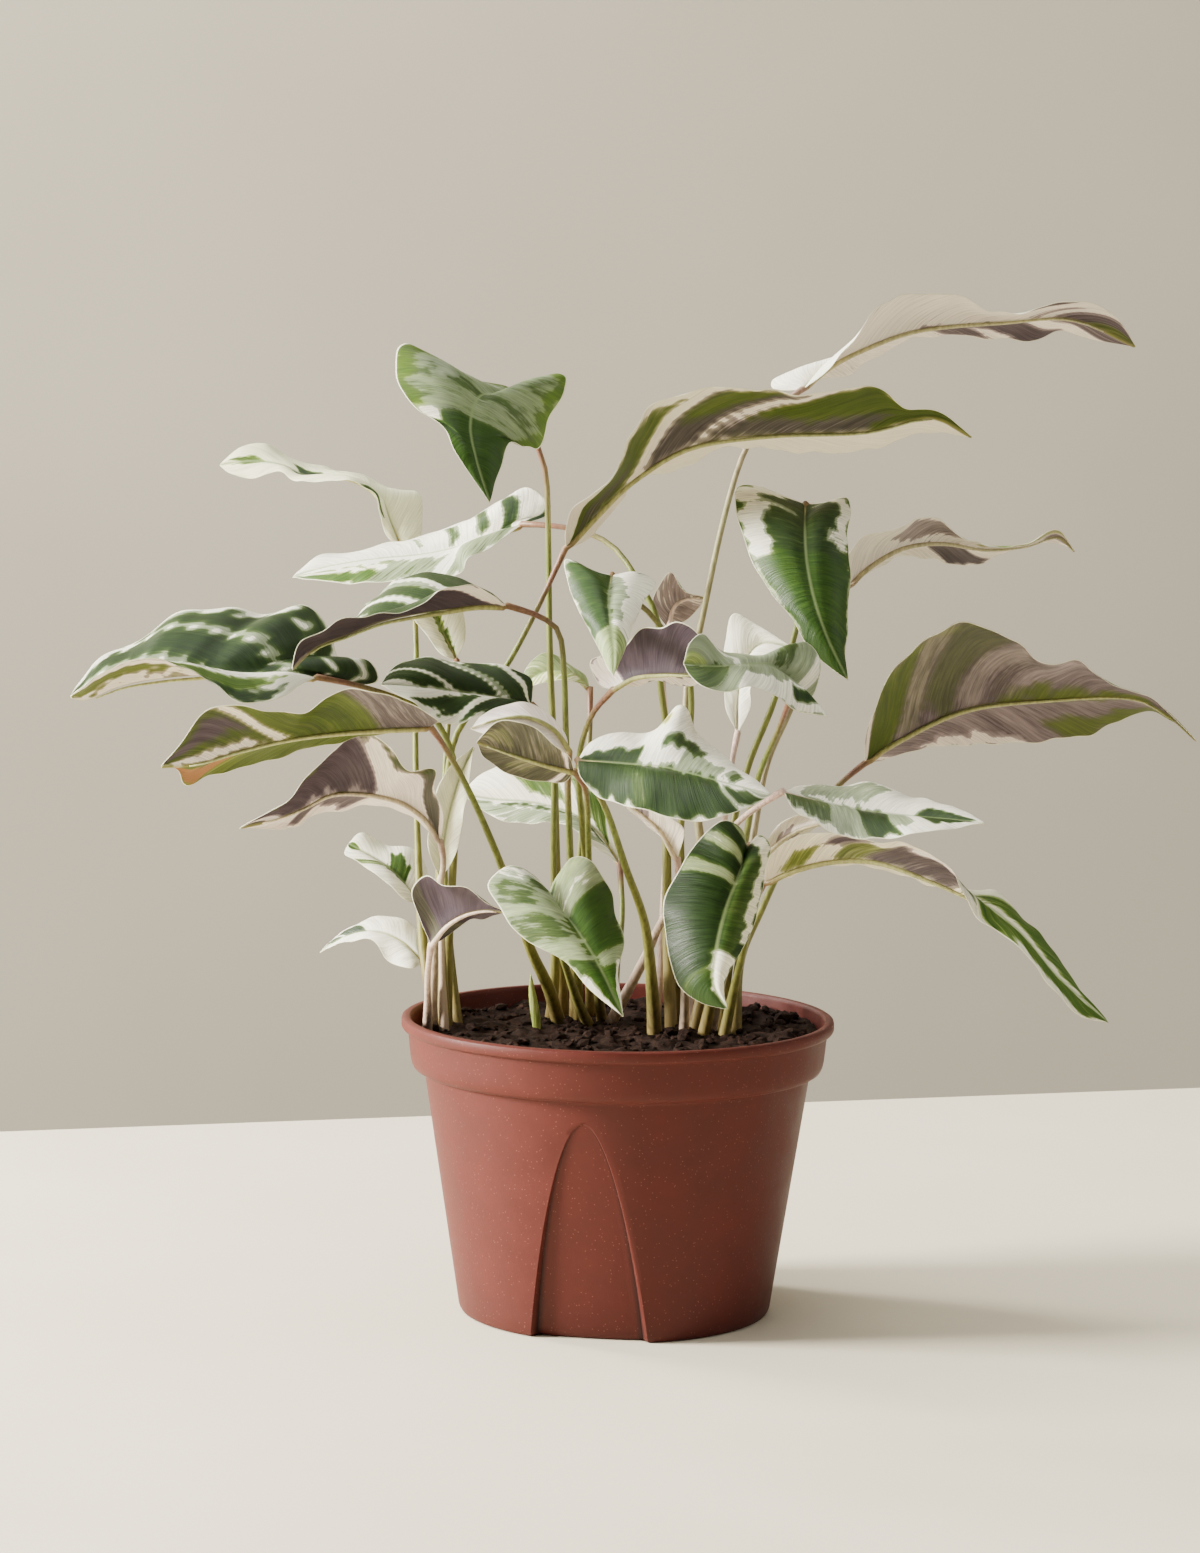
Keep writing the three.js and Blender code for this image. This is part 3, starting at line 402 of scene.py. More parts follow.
# %% Drill the drainage holes and finish the pot
DRAIN_COUNT = 8
DRAIN_RADIUS = 4 * MM
DRAIN_RING = 36 * MM
pot = piece("pot_shell", pot_mesh, "pot", [PLASTIC], "pot")
drill = bmesh.new()
for i in range(DRAIN_COUNT):
    turn = 2 * math.pi * (i + 0.5) / DRAIN_COUNT
    made = bmesh.ops.create_cone(drill, cap_ends=True, segments=24, radius1=DRAIN_RADIUS,
                                 radius2=DRAIN_RADIUS, depth=8 * MM)
    bmesh.ops.translate(drill, verts=made["verts"],
                        vec=(DRAIN_RING * math.cos(turn), DRAIN_RING * math.sin(turn), 0))
cutter_mesh = bpy.data.meshes.new("drill")
drill.to_mesh(cutter_mesh)
drill.free()
cutter = bpy.data.objects.new("drill", cutter_mesh)
bpy.context.scene.collection.objects.link(cutter)
holes = pot.modifiers.new("drainage", "BOOLEAN")
holes.object = cutter
holes.operation = "DIFFERENCE"
holes.solver = "EXACT"
drilled = bpy.data.meshes.new_from_object(pot.evaluated_get(bpy.context.evaluated_depsgraph_get()))
pot.modifiers.clear()
pot.data = drilled
bpy.data.objects.remove(cutter)
pot.data.set_sharp_from_angle(angle=math.radians(38))
print("the pot has", len(pot.data.polygons), "faces")

# %% [markdown]
# ## The soil
# Potting mix is a dark, loose bed of crumbs with larger lumps on top. A cloth of displaced points
# alone looks like tar, and thousands of loose crumbs are heavy. So a bumpy bed carries the shape, and
# a few hundred small rough lumps of twenty faces each lie on it. The bed is heaped at the right.

# %% The soil's finish
SOIL, tree, shader = finish_named("dark potting mix", 0.9)
place = node(tree, "TexCoord").outputs["Object"]
bits = placed_group(tree, SPECKLE, Scale=420.0, Size=0.10)
grain = node(tree, "TexNoise", Scale=420.0, Detail=8.0, Roughness=0.75)
wire(tree, (place, bits.inputs["Place"]), (place, grain.inputs["Vector"]))
earth = ramp(tree, (0.32, (0.005, 0.0022, 0.0013)), (0.52, (0.014, 0.0065, 0.004)),
             (0.7, (0.045, 0.022, 0.013)))
wire(tree, (grain.outputs[0], earth.inputs[0]))
dotted = mixed(tree, maths(tree, "MULTIPLY", bits.outputs["Flecks"], 0.2), earth.outputs[0],
               (0.16, 0.10, 0.06))
bump = node(tree, "Bump", Strength=0.8, Distance=0.0008)
wire(tree, (dotted, shader.inputs["Base Color"]), (grain.outputs[0], bump.inputs["Height"]),
     (bump.outputs[0], shader.inputs["Normal"]))
shader.inputs["Specular IOR Level"].default_value = 0.1
print(SOIL.name, "is ready")

# %% The bed of soil
SOIL_TOP = 93
BED_TOP = SOIL_TOP + 3.9
BED_RADIUS = 69.4
BED_STEPS = 132
HEAP_FROM = 36


def soil_height(x, y):
    """The height of the bed at a place, in millimetres."""
    place = Vector((x, y, 0))
    lumps = 2.0 * noise.noise(place / 9) + 1.4 * noise.noise(place / 4 + Vector((7, 3, 1)))
    crumbs = 0.7 * noise.noise(place / 1.7)
    heap = 1.8 * max(0, min(1, (x - HEAP_FROM) / 18))
    return BED_TOP + heap + lumps + crumbs


bed = spun([(0, SOIL_TOP), *[(r, SOIL_TOP) for r in np.linspace(1.5, BED_RADIUS, 46)],
            (68, 87.8), (64, 84), (57, 60), (45, 2.6), (0, 2.6)], BED_STEPS)
for vert in bed.verts:
    if abs(vert.co.z / MM - SOIL_TOP) < 0.1:
        vert.co.z = soil_height(vert.co.x / MM, vert.co.y / MM) * MM
bmesh.ops.recalc_face_normals(bed, faces=bed.faces)
piece("soil_bed", bed, "soil", [SOIL], "soil")
print("the bed is about", BED_TOP, "mm high")

# %% The lumps on it
LUMP_COUNT = 520
LUMP_REACH = 68
LUMP_SIZES = [0.9, 1.3, 1.9, 2.8]
LUMP_SHARES = [0.4, 0.3, 0.2, 0.1]
COARSE_FROM = 38

rng = np.random.default_rng(5)
crumbs = bmesh.new()
for i in range(LUMP_COUNT):
    radius = LUMP_REACH * math.sqrt(rng.random())
    turn = rng.random() * 2 * math.pi
    x, y = radius * math.cos(turn), radius * math.sin(turn)
    size = rng.choice(LUMP_SIZES, p=LUMP_SHARES) * (1.5 if x > COARSE_FROM else 1.0)
    size = min(size, BED_RADIUS + 0.3 - radius)
    made = bmesh.ops.create_icosphere(crumbs, subdivisions=1, radius=size * MM)["verts"]
    squash = Vector((0.7 + 0.6 * rng.random(), 0.7 + 0.6 * rng.random(), 0.5 + 0.3 * rng.random()))
    shift = Vector((x, y, soil_height(x, y) + 0.2 * size)) * MM
    spin = Matrix.Rotation(rng.random() * 6.3, 4, "Z") @ Matrix.Rotation(rng.random() - 0.5, 4, "X")
    bmesh.ops.scale(crumbs, vec=squash, verts=made)
    for vert in made:
        vert.co *= 1 + 0.35 * noise.noise(vert.co / MM + Vector((i, 0, 0)))
    bmesh.ops.transform(crumbs, matrix=Matrix.Translation(shift) @ spin, verts=made)
for vert in crumbs.verts:
    reach = math.hypot(vert.co.x, vert.co.y) / ((BED_RADIUS - 0.1) * MM)
    if reach > 1:
        vert.co.x, vert.co.y = vert.co.x / reach, vert.co.y / reach
piece("soil_lumps", crumbs, "soil", [SOIL], "soil", smooth=False)
print("lumps:", LUMP_COUNT)

# %% [markdown]
# ## How a leaf is drawn
# Every leaf is planned in a front elevation, as points of (x, depth, height): one curve for the rib
# from the blade's base to its tip, and one for each margin between those ends. A leaf could be bent
# from a flat cut-out, but its real folds and twists are easier to hold by drawing where its rib and
# its margins run. The curves are read by share of their length, so 0 is the base and 1 is the tip.

# %% Curves through points
EYE_DISTANCE = 1400
ELEVATION_EYE = np.array([-7, -EYE_DISTANCE, 333])
CURVE_POINTS = 401


def placed(points, push):
    """Elevation points in their true places. push moves them back, and keeps them in the elevation."""
    flat = np.array([(x, 0, height) for x, depth, height in points], float)
    depth = np.array([depth for x, depth, height in points]) + push
    return ELEVATION_EYE + (flat - ELEVATION_EYE) * (1 + depth / EYE_DISTANCE)[:, None]


def curve_through(points):
    """A smooth curve through the points, as a function of the share of its length."""
    points = np.asarray(points, float)
    knots = np.vstack([2 * points[0] - points[1], points, 2 * points[-1] - points[-2]])
    t = np.linspace(0, len(points) - 1, CURVE_POINTS)
    first = np.minimum(t.astype(int), len(points) - 2)
    f = (t - first)[:, None]
    a, b, c, d = (knots[first + k] for k in range(4))
    line = 0.5 * (2 * b + (c - a) * f + (2 * a - 5 * b + 4 * c - d) * f ** 2
                  + (3 * b - a - 3 * c + d) * f ** 3)
    gone = np.concatenate([[0], np.cumsum(np.linalg.norm(np.diff(line, axis=0), axis=1))])

    def at(share):
        along = np.asarray(share) * gone[-1]
        return np.stack([np.interp(along, gone, line[:, k]) for k in range(3)], -1)

    at.length = gone[-1]
    return at


def unit(vectors):
    """The vectors at length one."""
    return vectors / np.maximum(np.linalg.norm(vectors, axis=-1, keepdims=True), 1e-9)


print("curves are read from", CURVE_POINTS, "points each")

# %% The blade's surface
ALONG = 88
ACROSS = 24
SWEEP = 0.2
FRAY = 0.85
DOME = 0.55


def veins(leaf, at, across):
    """Where along the rib the vein through each point starts, as a share of the rib."""
    return at[:, None] - leaf.get("sweep", SWEEP) * np.abs(across)[None, :]


def blade_surface(leaf):
    """The blade's points and upward directions on a grid: first along the rib, then across."""
    ends = leaf["rib"][0], leaf["rib"][-1]
    rib = curve_through(placed(leaf["rib"], leaf["push"]))
    left = curve_through(placed([ends[0], *leaf["left"], ends[1]], leaf["push"]))
    right = curve_through(placed([ends[0], *leaf["right"], ends[1]], leaf["push"]))
    even = np.linspace(0, 1, ALONG + 1)
    at = 0.004 + 0.992 * (even + 0.02 * np.sin(2 * math.pi * even))
    across = np.linspace(-1, 1, ACROSS + 1)
    across = np.sign(across) * np.abs(across) ** 0.9
    out, at_left = np.abs(across)[None, :, None], (across < 0)[None, :, None]
    margin = np.where(at_left, left(at)[:, None], right(at)[:, None])
    seed, gone = leaf["seed"], at[:, None, None] * rib.length
    frill = np.sin(gone / 3.4 + seed) + 0.7 * np.sin(gone / 1.9 + 2 * seed + 3 * at_left)
    reach = out + 0.022 * frill * out ** 3 * np.sin(math.pi * at)[:, None, None]
    points = rib(at)[:, None] * (1 - reach) + margin * reach
    width = np.linalg.norm(margin - rib(at)[:, None], axis=-1) * np.abs(across)
    up = unit(np.cross(np.gradient(points, axis=0), -np.gradient(points, axis=1)))
    return rib, at, across, points, width, up


def relief(leaf, at, across, width, length):
    """How far the blade stands above its drawn surface, in millimetres."""
    half = width.max(axis=1, keepdims=True)
    out = np.abs(across)[None, :]
    dome = 0.16 * half * np.sin(math.pi * out ** 0.8) * DOME
    seed = leaf["seed"]
    vein = veins(leaf, at, across) * length
    pleat = 0.06 * np.sin(vein * 1.05 + seed) * np.sin(math.pi * out) * np.minimum(half / 8, 1)
    side = np.where(across < 0, 1.7, 0.0)[None, :]
    ripple = (np.sin(at[:, None] * length / 2.6 + seed + side)
              + 0.6 * np.sin(at[:, None] * length / 1.5 + 2 * seed))
    wave = 0.45 * ripple * out ** 4 * np.minimum(half / 6, 1) * np.sin(math.pi * at[:, None]) ** 0.5
    groove = -0.35 * np.exp(-(width / 0.7) ** 2)
    return dome + pleat + wave + groove


print("a blade has", ALONG * ACROSS, "faces before smoothing")

# %% [markdown]
# ## How a leaf is painted
# The upper side is cream, with brush strokes of dark green and grey-green that follow the veins. The
# lower side has the same strokes in purple-grey over a pinkish cream, and some of them are olive.
# The strokes could be noise alone, but each leaf has its own plan, so each blade carries values at its
# points: how green it is, and how yellow that green is. A noise at the points makes the strokes'
# ends fingered, and the shader only frays them along the veins. Both sides read the same values, as
# on a real leaf.

# %% Values that a blade carries
VEIN_SOFTNESS = 0.022
ACROSS_SOFTNESS = 0.13


def wander(vein, across, along, over, shift):
    """A noise at each point of a blade, so that the strokes' edges are fingered and not ruled."""
    return np.array([[noise.noise(Vector((v * along, c * over, shift))) for v, c in zip(row, across)]
                     for row in vein])


def step(value, width):
    """0 below zero and 1 above it, with a soft change of a width between them."""
    return np.clip(value / width + 0.5, 0, 1)


def painted(leaf, at, across):
    """How green and how yellow the blade is at each point. A stroke covers from one vein to another."""
    vein = veins(leaf, at, across)
    place = across[None, :] + 0.2 * wander(vein, across, 24, 0.8, leaf["seed"])
    vein = vein + 0.02 * wander(vein, across, 7, 2, leaf["seed"] + 40)
    green = np.full(vein.shape, float(leaf["green"]))
    yellow = np.full(vein.shape, float(leaf.get("yellow", 0)))
    for first, last, low, high, amount, *tone in leaf["paint"]:
        cover = (step(vein - first, VEIN_SOFTNESS) * step(last - vein, VEIN_SOFTNESS)
                 * step(place - low, ACROSS_SOFTNESS) * step(high - place, ACROSS_SOFTNESS))
        green += (amount - green) * cover
        yellow += ((tone[0] if tone else 0) - yellow) * cover
    return green, yellow


def carry(mesh, name, values):
    """Stores one number for each point of a mesh."""
    layer = mesh.attributes.new(name, "FLOAT", "POINT")
    layer.data.foreach_set("value", np.asarray(values, np.float32).ravel())


print("strokes sweep forward by", SWEEP, "of the blade's length")

# %% The strokes and veins, shared by both sides of a blade
STROKES, into, out = group("vein strokes", [("Vein", "Float", 0.0), ("Width", "Float", 0.0),
                                            ("Seed", "Float", 0.0), ("Green", "Float", 0.0),
                                            ("Fray", "Float", 1.0)],
                           [("Level", "Float"), ("Fine", "Float"), ("Veins", "Float")])


def vein_noise(across, down, shift, detail):
    """A noise stretched along the veins: across and down are its scales across a vein and down it."""
    place = node(STROKES, "CombineXYZ")
    wire(STROKES, (maths(STROKES, "MULTIPLY", into["Vein"], across), place.inputs[0]),
         (maths(STROKES, "MULTIPLY", into["Width"], down), place.inputs[1]),
         (maths(STROKES, "ADD", into["Seed"], shift), place.inputs[2]))
    cloud = node(STROKES, "TexNoise", Scale=1.0, Detail=detail, Roughness=0.6)
    wire(STROKES, (place.outputs[0], cloud.inputs["Vector"]))
    return maths(STROKES, "SUBTRACT", cloud.outputs[0], 0.5)


broad = maths(STROKES, "MULTIPLY", vein_noise(0.16, 0.05, 0.0, 2.0), 0.4)
frayed = maths(STROKES, "MULTIPLY", vein_noise(0.9, 0.10, 11.0, 3.0), 0.8)
fine = vein_noise(3.0, 0.10, 23.0, 2.0)
drift = maths(STROKES, "MULTIPLY", maths(STROKES, "ADD", broad, frayed), into["Fray"])
level = maths(STROKES, "ADD", into["Green"], drift)
wire(STROKES, (level, out["Level"]), (fine, out["Fine"]))
wire(STROKES, (maths(STROKES, "SINE", maths(STROKES, "MULTIPLY", into["Vein"], 4.2)), out["Veins"]))
print("stroke noises run along the veins")

# %% The colours of one side of the blade
DRY_FROM = 1.3
DRY_BROWN = (0.33, 0.15, 0.05)
RIB_REACH = 0.8
EDGE_NARROWNESS = 2.8


def stroke_colour(tree, carried, strokes, plain, tinted):
    """The strokes' colour: a ramp by how green, mixed by how yellow, and brown where it is dry."""
    one, other = ramp(tree, *plain), ramp(tree, *tinted)
    wire(tree, (strokes.outputs["Level"], one.inputs[0]), (strokes.outputs["Level"], other.inputs[0]))
    flecks = maths(tree, "MULTIPLY", strokes.outputs["Fine"], 0.5)
    tone = maths(tree, "ADD", carried["yellow"], flecks, clamp=True)
    dry = maths(tree, "SUBTRACT", carried["yellow"], DRY_FROM, clamp=True)
    return mixed(tree, dry, mixed(tree, tone, one.outputs[0], other.outputs[0]), DRY_BROWN)


def with_rib_and_edge(tree, carried, colour, rib_colour, margin):
    """The colour, changed to rib_colour within RIB_REACH of the rib and to margin at the edge."""
    near_rib = maths(tree, "SUBTRACT", RIB_REACH, maths(tree, "ABSOLUTE", carried["width"]), clamp=True)
    away = maths(tree, "MULTIPLY", carried["inset"], EDGE_NARROWNESS)
    near_edge = maths(tree, "SUBTRACT", 1.0, away, clamp=True)
    return mixed(tree, near_edge, mixed(tree, near_rib, colour, rib_colour), margin)


print("a dry tip starts where yellow is over", DRY_FROM)

# %% A finish for one side of the blade
STROKE_VALUES = ("vein", "width", "seed", "green", "fray")


def blade_finish(name, plain, tinted, margin, rib_colour, roughness):
    """One side of the blade. plain and tinted are colour ramps from no green to full green."""
    made, tree, shader = finish_named(name, roughness)
    carried = {key: node(tree, "Attribute", attribute_name=key).outputs["Fac"]
               for key in (*STROKE_VALUES, "yellow", "inset")}
    strokes = placed_group(tree, STROKES)
    for key in STROKE_VALUES:
        wire(tree, (carried[key], strokes.inputs[key.title()]))
    fine = maths(tree, "ADD", strokes.outputs["Fine"], 0.5)
    shade = ramp(tree, (0.3, (0.68,) * 3), (0.7, (1.18,) * 3))
    shine = ramp(tree, (0.3, (roughness - 0.08,) * 3), (0.7, (roughness + 0.1,) * 3))
    wire(tree, (fine, shade.inputs[0]), (fine, shine.inputs[0]))
    colour = stroke_colour(tree, carried, strokes, plain, tinted)
    colour = mixed(tree, 1.0, colour, shade.outputs[0], "MULTIPLY")
    colour = with_rib_and_edge(tree, carried, colour, rib_colour, margin)
    height = maths(tree, "ADD", maths(tree, "MULTIPLY", strokes.outputs["Veins"], 0.1),
                   maths(tree, "MULTIPLY", strokes.outputs["Fine"], 1.6))
    bump = node(tree, "Bump", Strength=0.35, Distance=0.0003)
    wire(tree, (colour, shader.inputs["Base Color"]), (height, bump.inputs["Height"]),
         (bump.outputs[0], shader.inputs["Normal"]), (shine.outputs[0], shader.inputs["Roughness"]))
    shader.inputs["Specular IOR Level"].default_value = 0.25
    return made


CREAM = (0.84, 0.83, 0.68)
UPPER = blade_finish(
    "blade upper side",
    [(0.27, CREAM), (0.30, (0.33, 0.39, 0.25)), (0.50, (0.18, 0.23, 0.125)),
     (0.54, (0.062, 0.098, 0.026)), (0.68, (0.024, 0.052, 0.008)), (0.9, (0.009, 0.026, 0.003))],
    [(0.27, (0.78, 0.80, 0.46)), (0.30, (0.38, 0.47, 0.12)), (0.50, (0.20, 0.30, 0.045)),
     (0.54, (0.088, 0.152, 0.010)), (0.68, (0.046, 0.106, 0.005)), (0.9, (0.024, 0.072, 0.003))],
    (0.78, 0.78, 0.56), (0.20, 0.27, 0.11), 0.45)
UNDER = blade_finish(
    "blade lower side",
    [(0.27, (0.90, 0.80, 0.71)), (0.31, (0.40, 0.31, 0.31)), (0.48, (0.24, 0.185, 0.195)),
     (0.60, (0.100, 0.072, 0.085)), (0.75, (0.060, 0.041, 0.053)), (0.9, (0.038, 0.024, 0.035))],
    [(0.27, (0.88, 0.84, 0.52)), (0.31, (0.38, 0.41, 0.12)), (0.48, (0.20, 0.230, 0.040)),
     (0.58, (0.110, 0.145, 0.016)), (0.75, (0.062, 0.092, 0.008)), (0.9, (0.034, 0.056, 0.004))],
    (0.74, 0.70, 0.50), (0.24, 0.23, 0.06), 0.55)
print("blade finishes:", UPPER.name, "and", UNDER.name)

# %% Make a blade
BLADE_THICKNESS = 0.5


def laid_grid(points):
    """A bmesh grid with its points moved to an array of places in millimetres, row by row."""
    rows, columns = points.shape[:2]
    bm = bmesh.new()
    bmesh.ops.create_grid(bm, x_segments=columns - 1, y_segments=rows - 1, size=1)
    for vert, place in zip(bm.verts, points.reshape(-1, 3)):
        vert.co = place * MM
    return bm


def grow_blade(leaf):
    """The blade as a thin skin: a grid laid on the drawn surface, given a thickness."""
    rib, at, across, points, width, up = blade_surface(leaf)
    points = points + up * relief(leaf, at, across, width, rib.length)[..., None]
    own_node = "leaf_" + leaf["name"]
    made = piece("blade_" + leaf["name"], laid_grid(points), "blade", [UPPER, UNDER], own_node)
    green, yellow = painted(leaf, at, across)
    out = np.abs(across)[None, :]
    side = np.where(across < 0, 1.0, -1.0)[None, :]
    carry(made.data, "vein", veins(leaf, at, across) * rib.length)
    carry(made.data, "width", width * side)
    carry(made.data, "seed", np.full(green.shape, leaf["seed"] * 5.0))
    carry(made.data, "green", green)
    carry(made.data, "fray", np.full(green.shape, leaf.get("fray", FRAY)))
    carry(made.data, "yellow", yellow)
    carry(made.data, "inset", np.maximum(width[:, :1], width[:, -1:]) * (1 - out))
    thin = made.vertex_groups.new(name="fullness")
    for i, value in enumerate(np.broadcast_to(1 - 0.6 * out, green.shape).ravel()):
        thin.add([i], value, "REPLACE")
    skin = made.modifiers.new("thickness", "SOLIDIFY")
    skin.thickness = BLADE_THICKNESS * MM
    skin.offset = -1
    skin.vertex_group = "fullness"
    skin.material_offset = 1
    skin.material_offset_rim = 0
    soft = made.modifiers.new("soft", "SUBSURF")
    soft.levels = soft.render_levels = 1
    return rib, at, points, up


print("a blade is", BLADE_THICKNESS, "mm thick at its rib")

# %% [markdown]
# ## Stalks
# Each blade stands on a long round stalk that swells into a sheath at its foot and into a short
# pinkish joint under the blade. The stalk carries on as the raised rib on the blade's lower side, so
# both are one tube, drawn out ring by ring. A curve object could make it too, but rings let its
# thickness and its colour change along the way.

# %% The stalk's finish
STALK, tree, shader = finish_named("olive stalk", 0.42)
growth = node(tree, "Attribute", attribute_name="growth").outputs["Fac"]
blush = node(tree, "Attribute", attribute_name="blush").outputs["Fac"]
place = node(tree, "TexCoord").outputs["Object"]
stretch = node(tree, "Mapping", Scale=(900, 900, 60))
lines = node(tree, "TexNoise", Scale=1.0, Detail=3.0)
blotch = node(tree, "TexNoise", Scale=160.0, Detail=4.0)
wire(tree, (place, stretch.inputs[0]), (stretch.outputs[0], lines.inputs["Vector"]),
     (place, blotch.inputs["Vector"]))
tone = ramp(tree, (0.0, (0.20, 0.14, 0.055)), (0.10, (0.19, 0.18, 0.045)),
            (0.38, (0.135, 0.165, 0.035)), (0.435, (0.15, 0.13, 0.045)), (0.47, (0.17, 0.080, 0.052)),
            (0.50, (0.18, 0.10, 0.05)), (0.53, (0.34, 0.33, 0.12)), (1.0, (0.42, 0.44, 0.20)))
wire(tree, (maths(tree, "MULTIPLY", growth, 0.5), tone.inputs[0]))
pale = mixed(tree, blush, tone.outputs[0], (0.66, 0.48, 0.41))
spots = ramp(tree, (0.60, (0, 0, 0)), (0.72, (1, 1, 1)))
low = maths(tree, "SUBTRACT", 1.0, maths(tree, "MULTIPLY", growth, 3.0), clamp=True)
wire(tree, (blotch.outputs[0], spots.inputs[0]))
spotted = mixed(tree, maths(tree, "MULTIPLY", low, spots.outputs[0]), pale, (0.11, 0.06, 0.03))
shade = ramp(tree, (0.3, (0.72,) * 3), (0.7, (1.25,) * 3))
wire(tree, (lines.outputs[0], shade.inputs[0]))
bump = node(tree, "Bump", Strength=0.3, Distance=0.0003)
wire(tree, (mixed(tree, 1.0, spotted, shade.outputs[0], "MULTIPLY"), shader.inputs["Base Color"]),
     (lines.outputs[0], bump.inputs["Height"]), (bump.outputs[0], shader.inputs["Normal"]))
shader.inputs["Specular IOR Level"].default_value = 0.3
print(STALK.name, "is ready")

# %% Make a stalk
STALK_STEPS = 34
RIB_STEPS = 26
STALK_SIDES = 12
SLENDER = 0.92


def stalk_route(leaf, rib, at, points, up):
    """Each ring's middle, radius and growth: 0 at the foot, 1 at the blade and 2 at the tip."""
    bends = [placed([p], leaf["push"] * ((i + 1) / (len(leaf["stalk"]) + 1)) ** 1.5)[0]
             for i, p in enumerate(leaf["stalk"])]
    foot = np.array([*leaf["foot"], SOIL_TOP + 0.4])
    path = curve_through([foot, *bends, rib(0)])
    share = np.linspace(0, 1, STALK_STEPS + 1)
    joint = np.exp(-((1 - share) * path.length / 7) ** 2)
    sheath = np.clip(1 - share * 2.6, 0, 1) ** 0.7
    radius = SLENDER + (leaf["stout"] - SLENDER) * (1 - share ** 0.5) + 0.28 * joint + 0.55 * sheath
    rows = np.linspace(1, int(ALONG * 0.92), RIB_STEPS).astype(int)
    middle = points[rows, ACROSS // 2]
    rib_radius = 0.85 * (1 - at[rows]) ** 0.8 + 0.12
    under = middle - up[rows, ACROSS // 2] * (0.25 + 0.30 * rib_radius)[:, None]
    sunk = foot - np.array([0, 0, 5])
    centres = np.vstack([sunk, path(share), under])
    radii = np.concatenate([[leaf["stout"]], radius, rib_radius])
    return centres, radii, np.concatenate([[0], share, 1 + at[rows]])


def tube(centres, radii):
    """A sheet of faces rolled round a route, joined along its seam and closed at both ends."""
    directions = [Vector(d) for d in unit(np.gradient(centres, axis=0))]
    turn = Vector((0, 0, 1)).rotation_difference(directions[0])
    angles = np.arange(STALK_SIDES + 1) * 2 * math.pi / STALK_SIDES
    rings = []
    for k, direction in enumerate(directions):
        turn = directions[max(k - 1, 0)].rotation_difference(direction) @ turn
        spokes = [turn @ Vector((math.cos(a), math.sin(a), 0)) for a in angles]
        rings.append([np.array(centres[k]) + np.array(spoke) * radii[k] for spoke in spokes])
    bm = laid_grid(np.array(rings))
    bmesh.ops.remove_doubles(bm, verts=bm.verts, dist=1e-7)
    bmesh.ops.holes_fill(bm, edges=[edge for edge in bm.edges if edge.is_boundary])
    bmesh.ops.recalc_face_normals(bm, faces=bm.faces)
    return bm


def grow_stalk(leaf, *blade):
    """The stalk and the raised rib under the blade, as one tube."""
    centres, radii, growth = stalk_route(leaf, *blade)
    own_node = ("leaf_" if leaf["joined"] else "stalk_") + leaf["name"]
    made = piece("stalk_of_" + leaf["name"], tube(centres, radii), "stalk", [STALK], own_node)
    ring = np.repeat(growth, STALK_SIDES)
    carry(made.data, "growth", ring)
    carry(made.data, "blush", np.full(ring.shape, leaf.get("blush", 0.0)))


print("a stalk has", STALK_STEPS + RIB_STEPS + 1, "rings")

# %% [markdown]
# ## The plan of the plant
# This is where the plant's character is. Each leaf has its foot on the soil, a stalk that bends to
# the blade's base, and the three curves of its blade. push sets the whole blade further back, or
# further forward where it is negative. green and yellow are the blade's ground, blush is how pink its
# stalk is, and paint lists its strokes as (first vein, last vein, from, to, green, yellow), where
# from and to run from -1 at the left margin, through 0 at the rib, to 1 at the right margin. sweep
# is how far the strokes lean towards the tip on their way from the rib to a margin, and fray is how
# rough they are. A yellow well above 1 is the brown of a dry tip.

# %% The list of leaves
LEAVES = []


def plan(name, joined=False, **drawn):
    """Adds a leaf to the plan. A joined leaf is one solid with its stalk in the frame."""
    LEAVES.append(dict(drawn, name=name, joined=joined, seed=3.7 * len(LEAVES) + 1.3))


print("leaves planned so far:", len(LEAVES))

# %% The three highest leaves
plan("top_right", foot=(31, 14), push=30, stout=1.9, green=0.14, blush=0.2,
     stalk=[(33, 20, 130), (27, 26, 170), (22, 30, 212), (27, 34, 240), (34, 38, 275), (41, 42, 299),
            (50, 44, 312)],
     rib=[(60, 45, 320), (69, 48, 328), (80, 50, 334), (100, 56, 341), (128, 64, 344), (152, 70, 345),
          (174, 76, 336)],
     left=[(50, 50, 320), (51, 53, 324), (62, 56, 323.5), (75, 60, 325), (86, 64, 332), (98, 68, 338),
           (112, 72, 339), (128, 75, 338), (138, 77, 337.5), (148, 78, 341), (160, 79, 338)],
     right=[(68, 42, 326), (78, 38, 338), (84, 38, 347), (92, 42, 352), (105, 46, 353.5),
            (115, 52, 352), (124, 58, 347.5), (134, 60, 347), (146, 62, 350.5), (157, 66, 351),
            (167, 70, 346)],
     paint=[(0.36, 0.64, -1, -0.05, 0.7), (0.5, 0.6, 0.75, 1, 0.85), (0.44, 0.5, -1, -0.6, 0.2),
            (0.74, 1, -1, 1, 0.58), (0.66, 0.7, 0, 0.6, 0.4), (0.84, 0.95, 0, 0.75, 0.6, 0.8)])
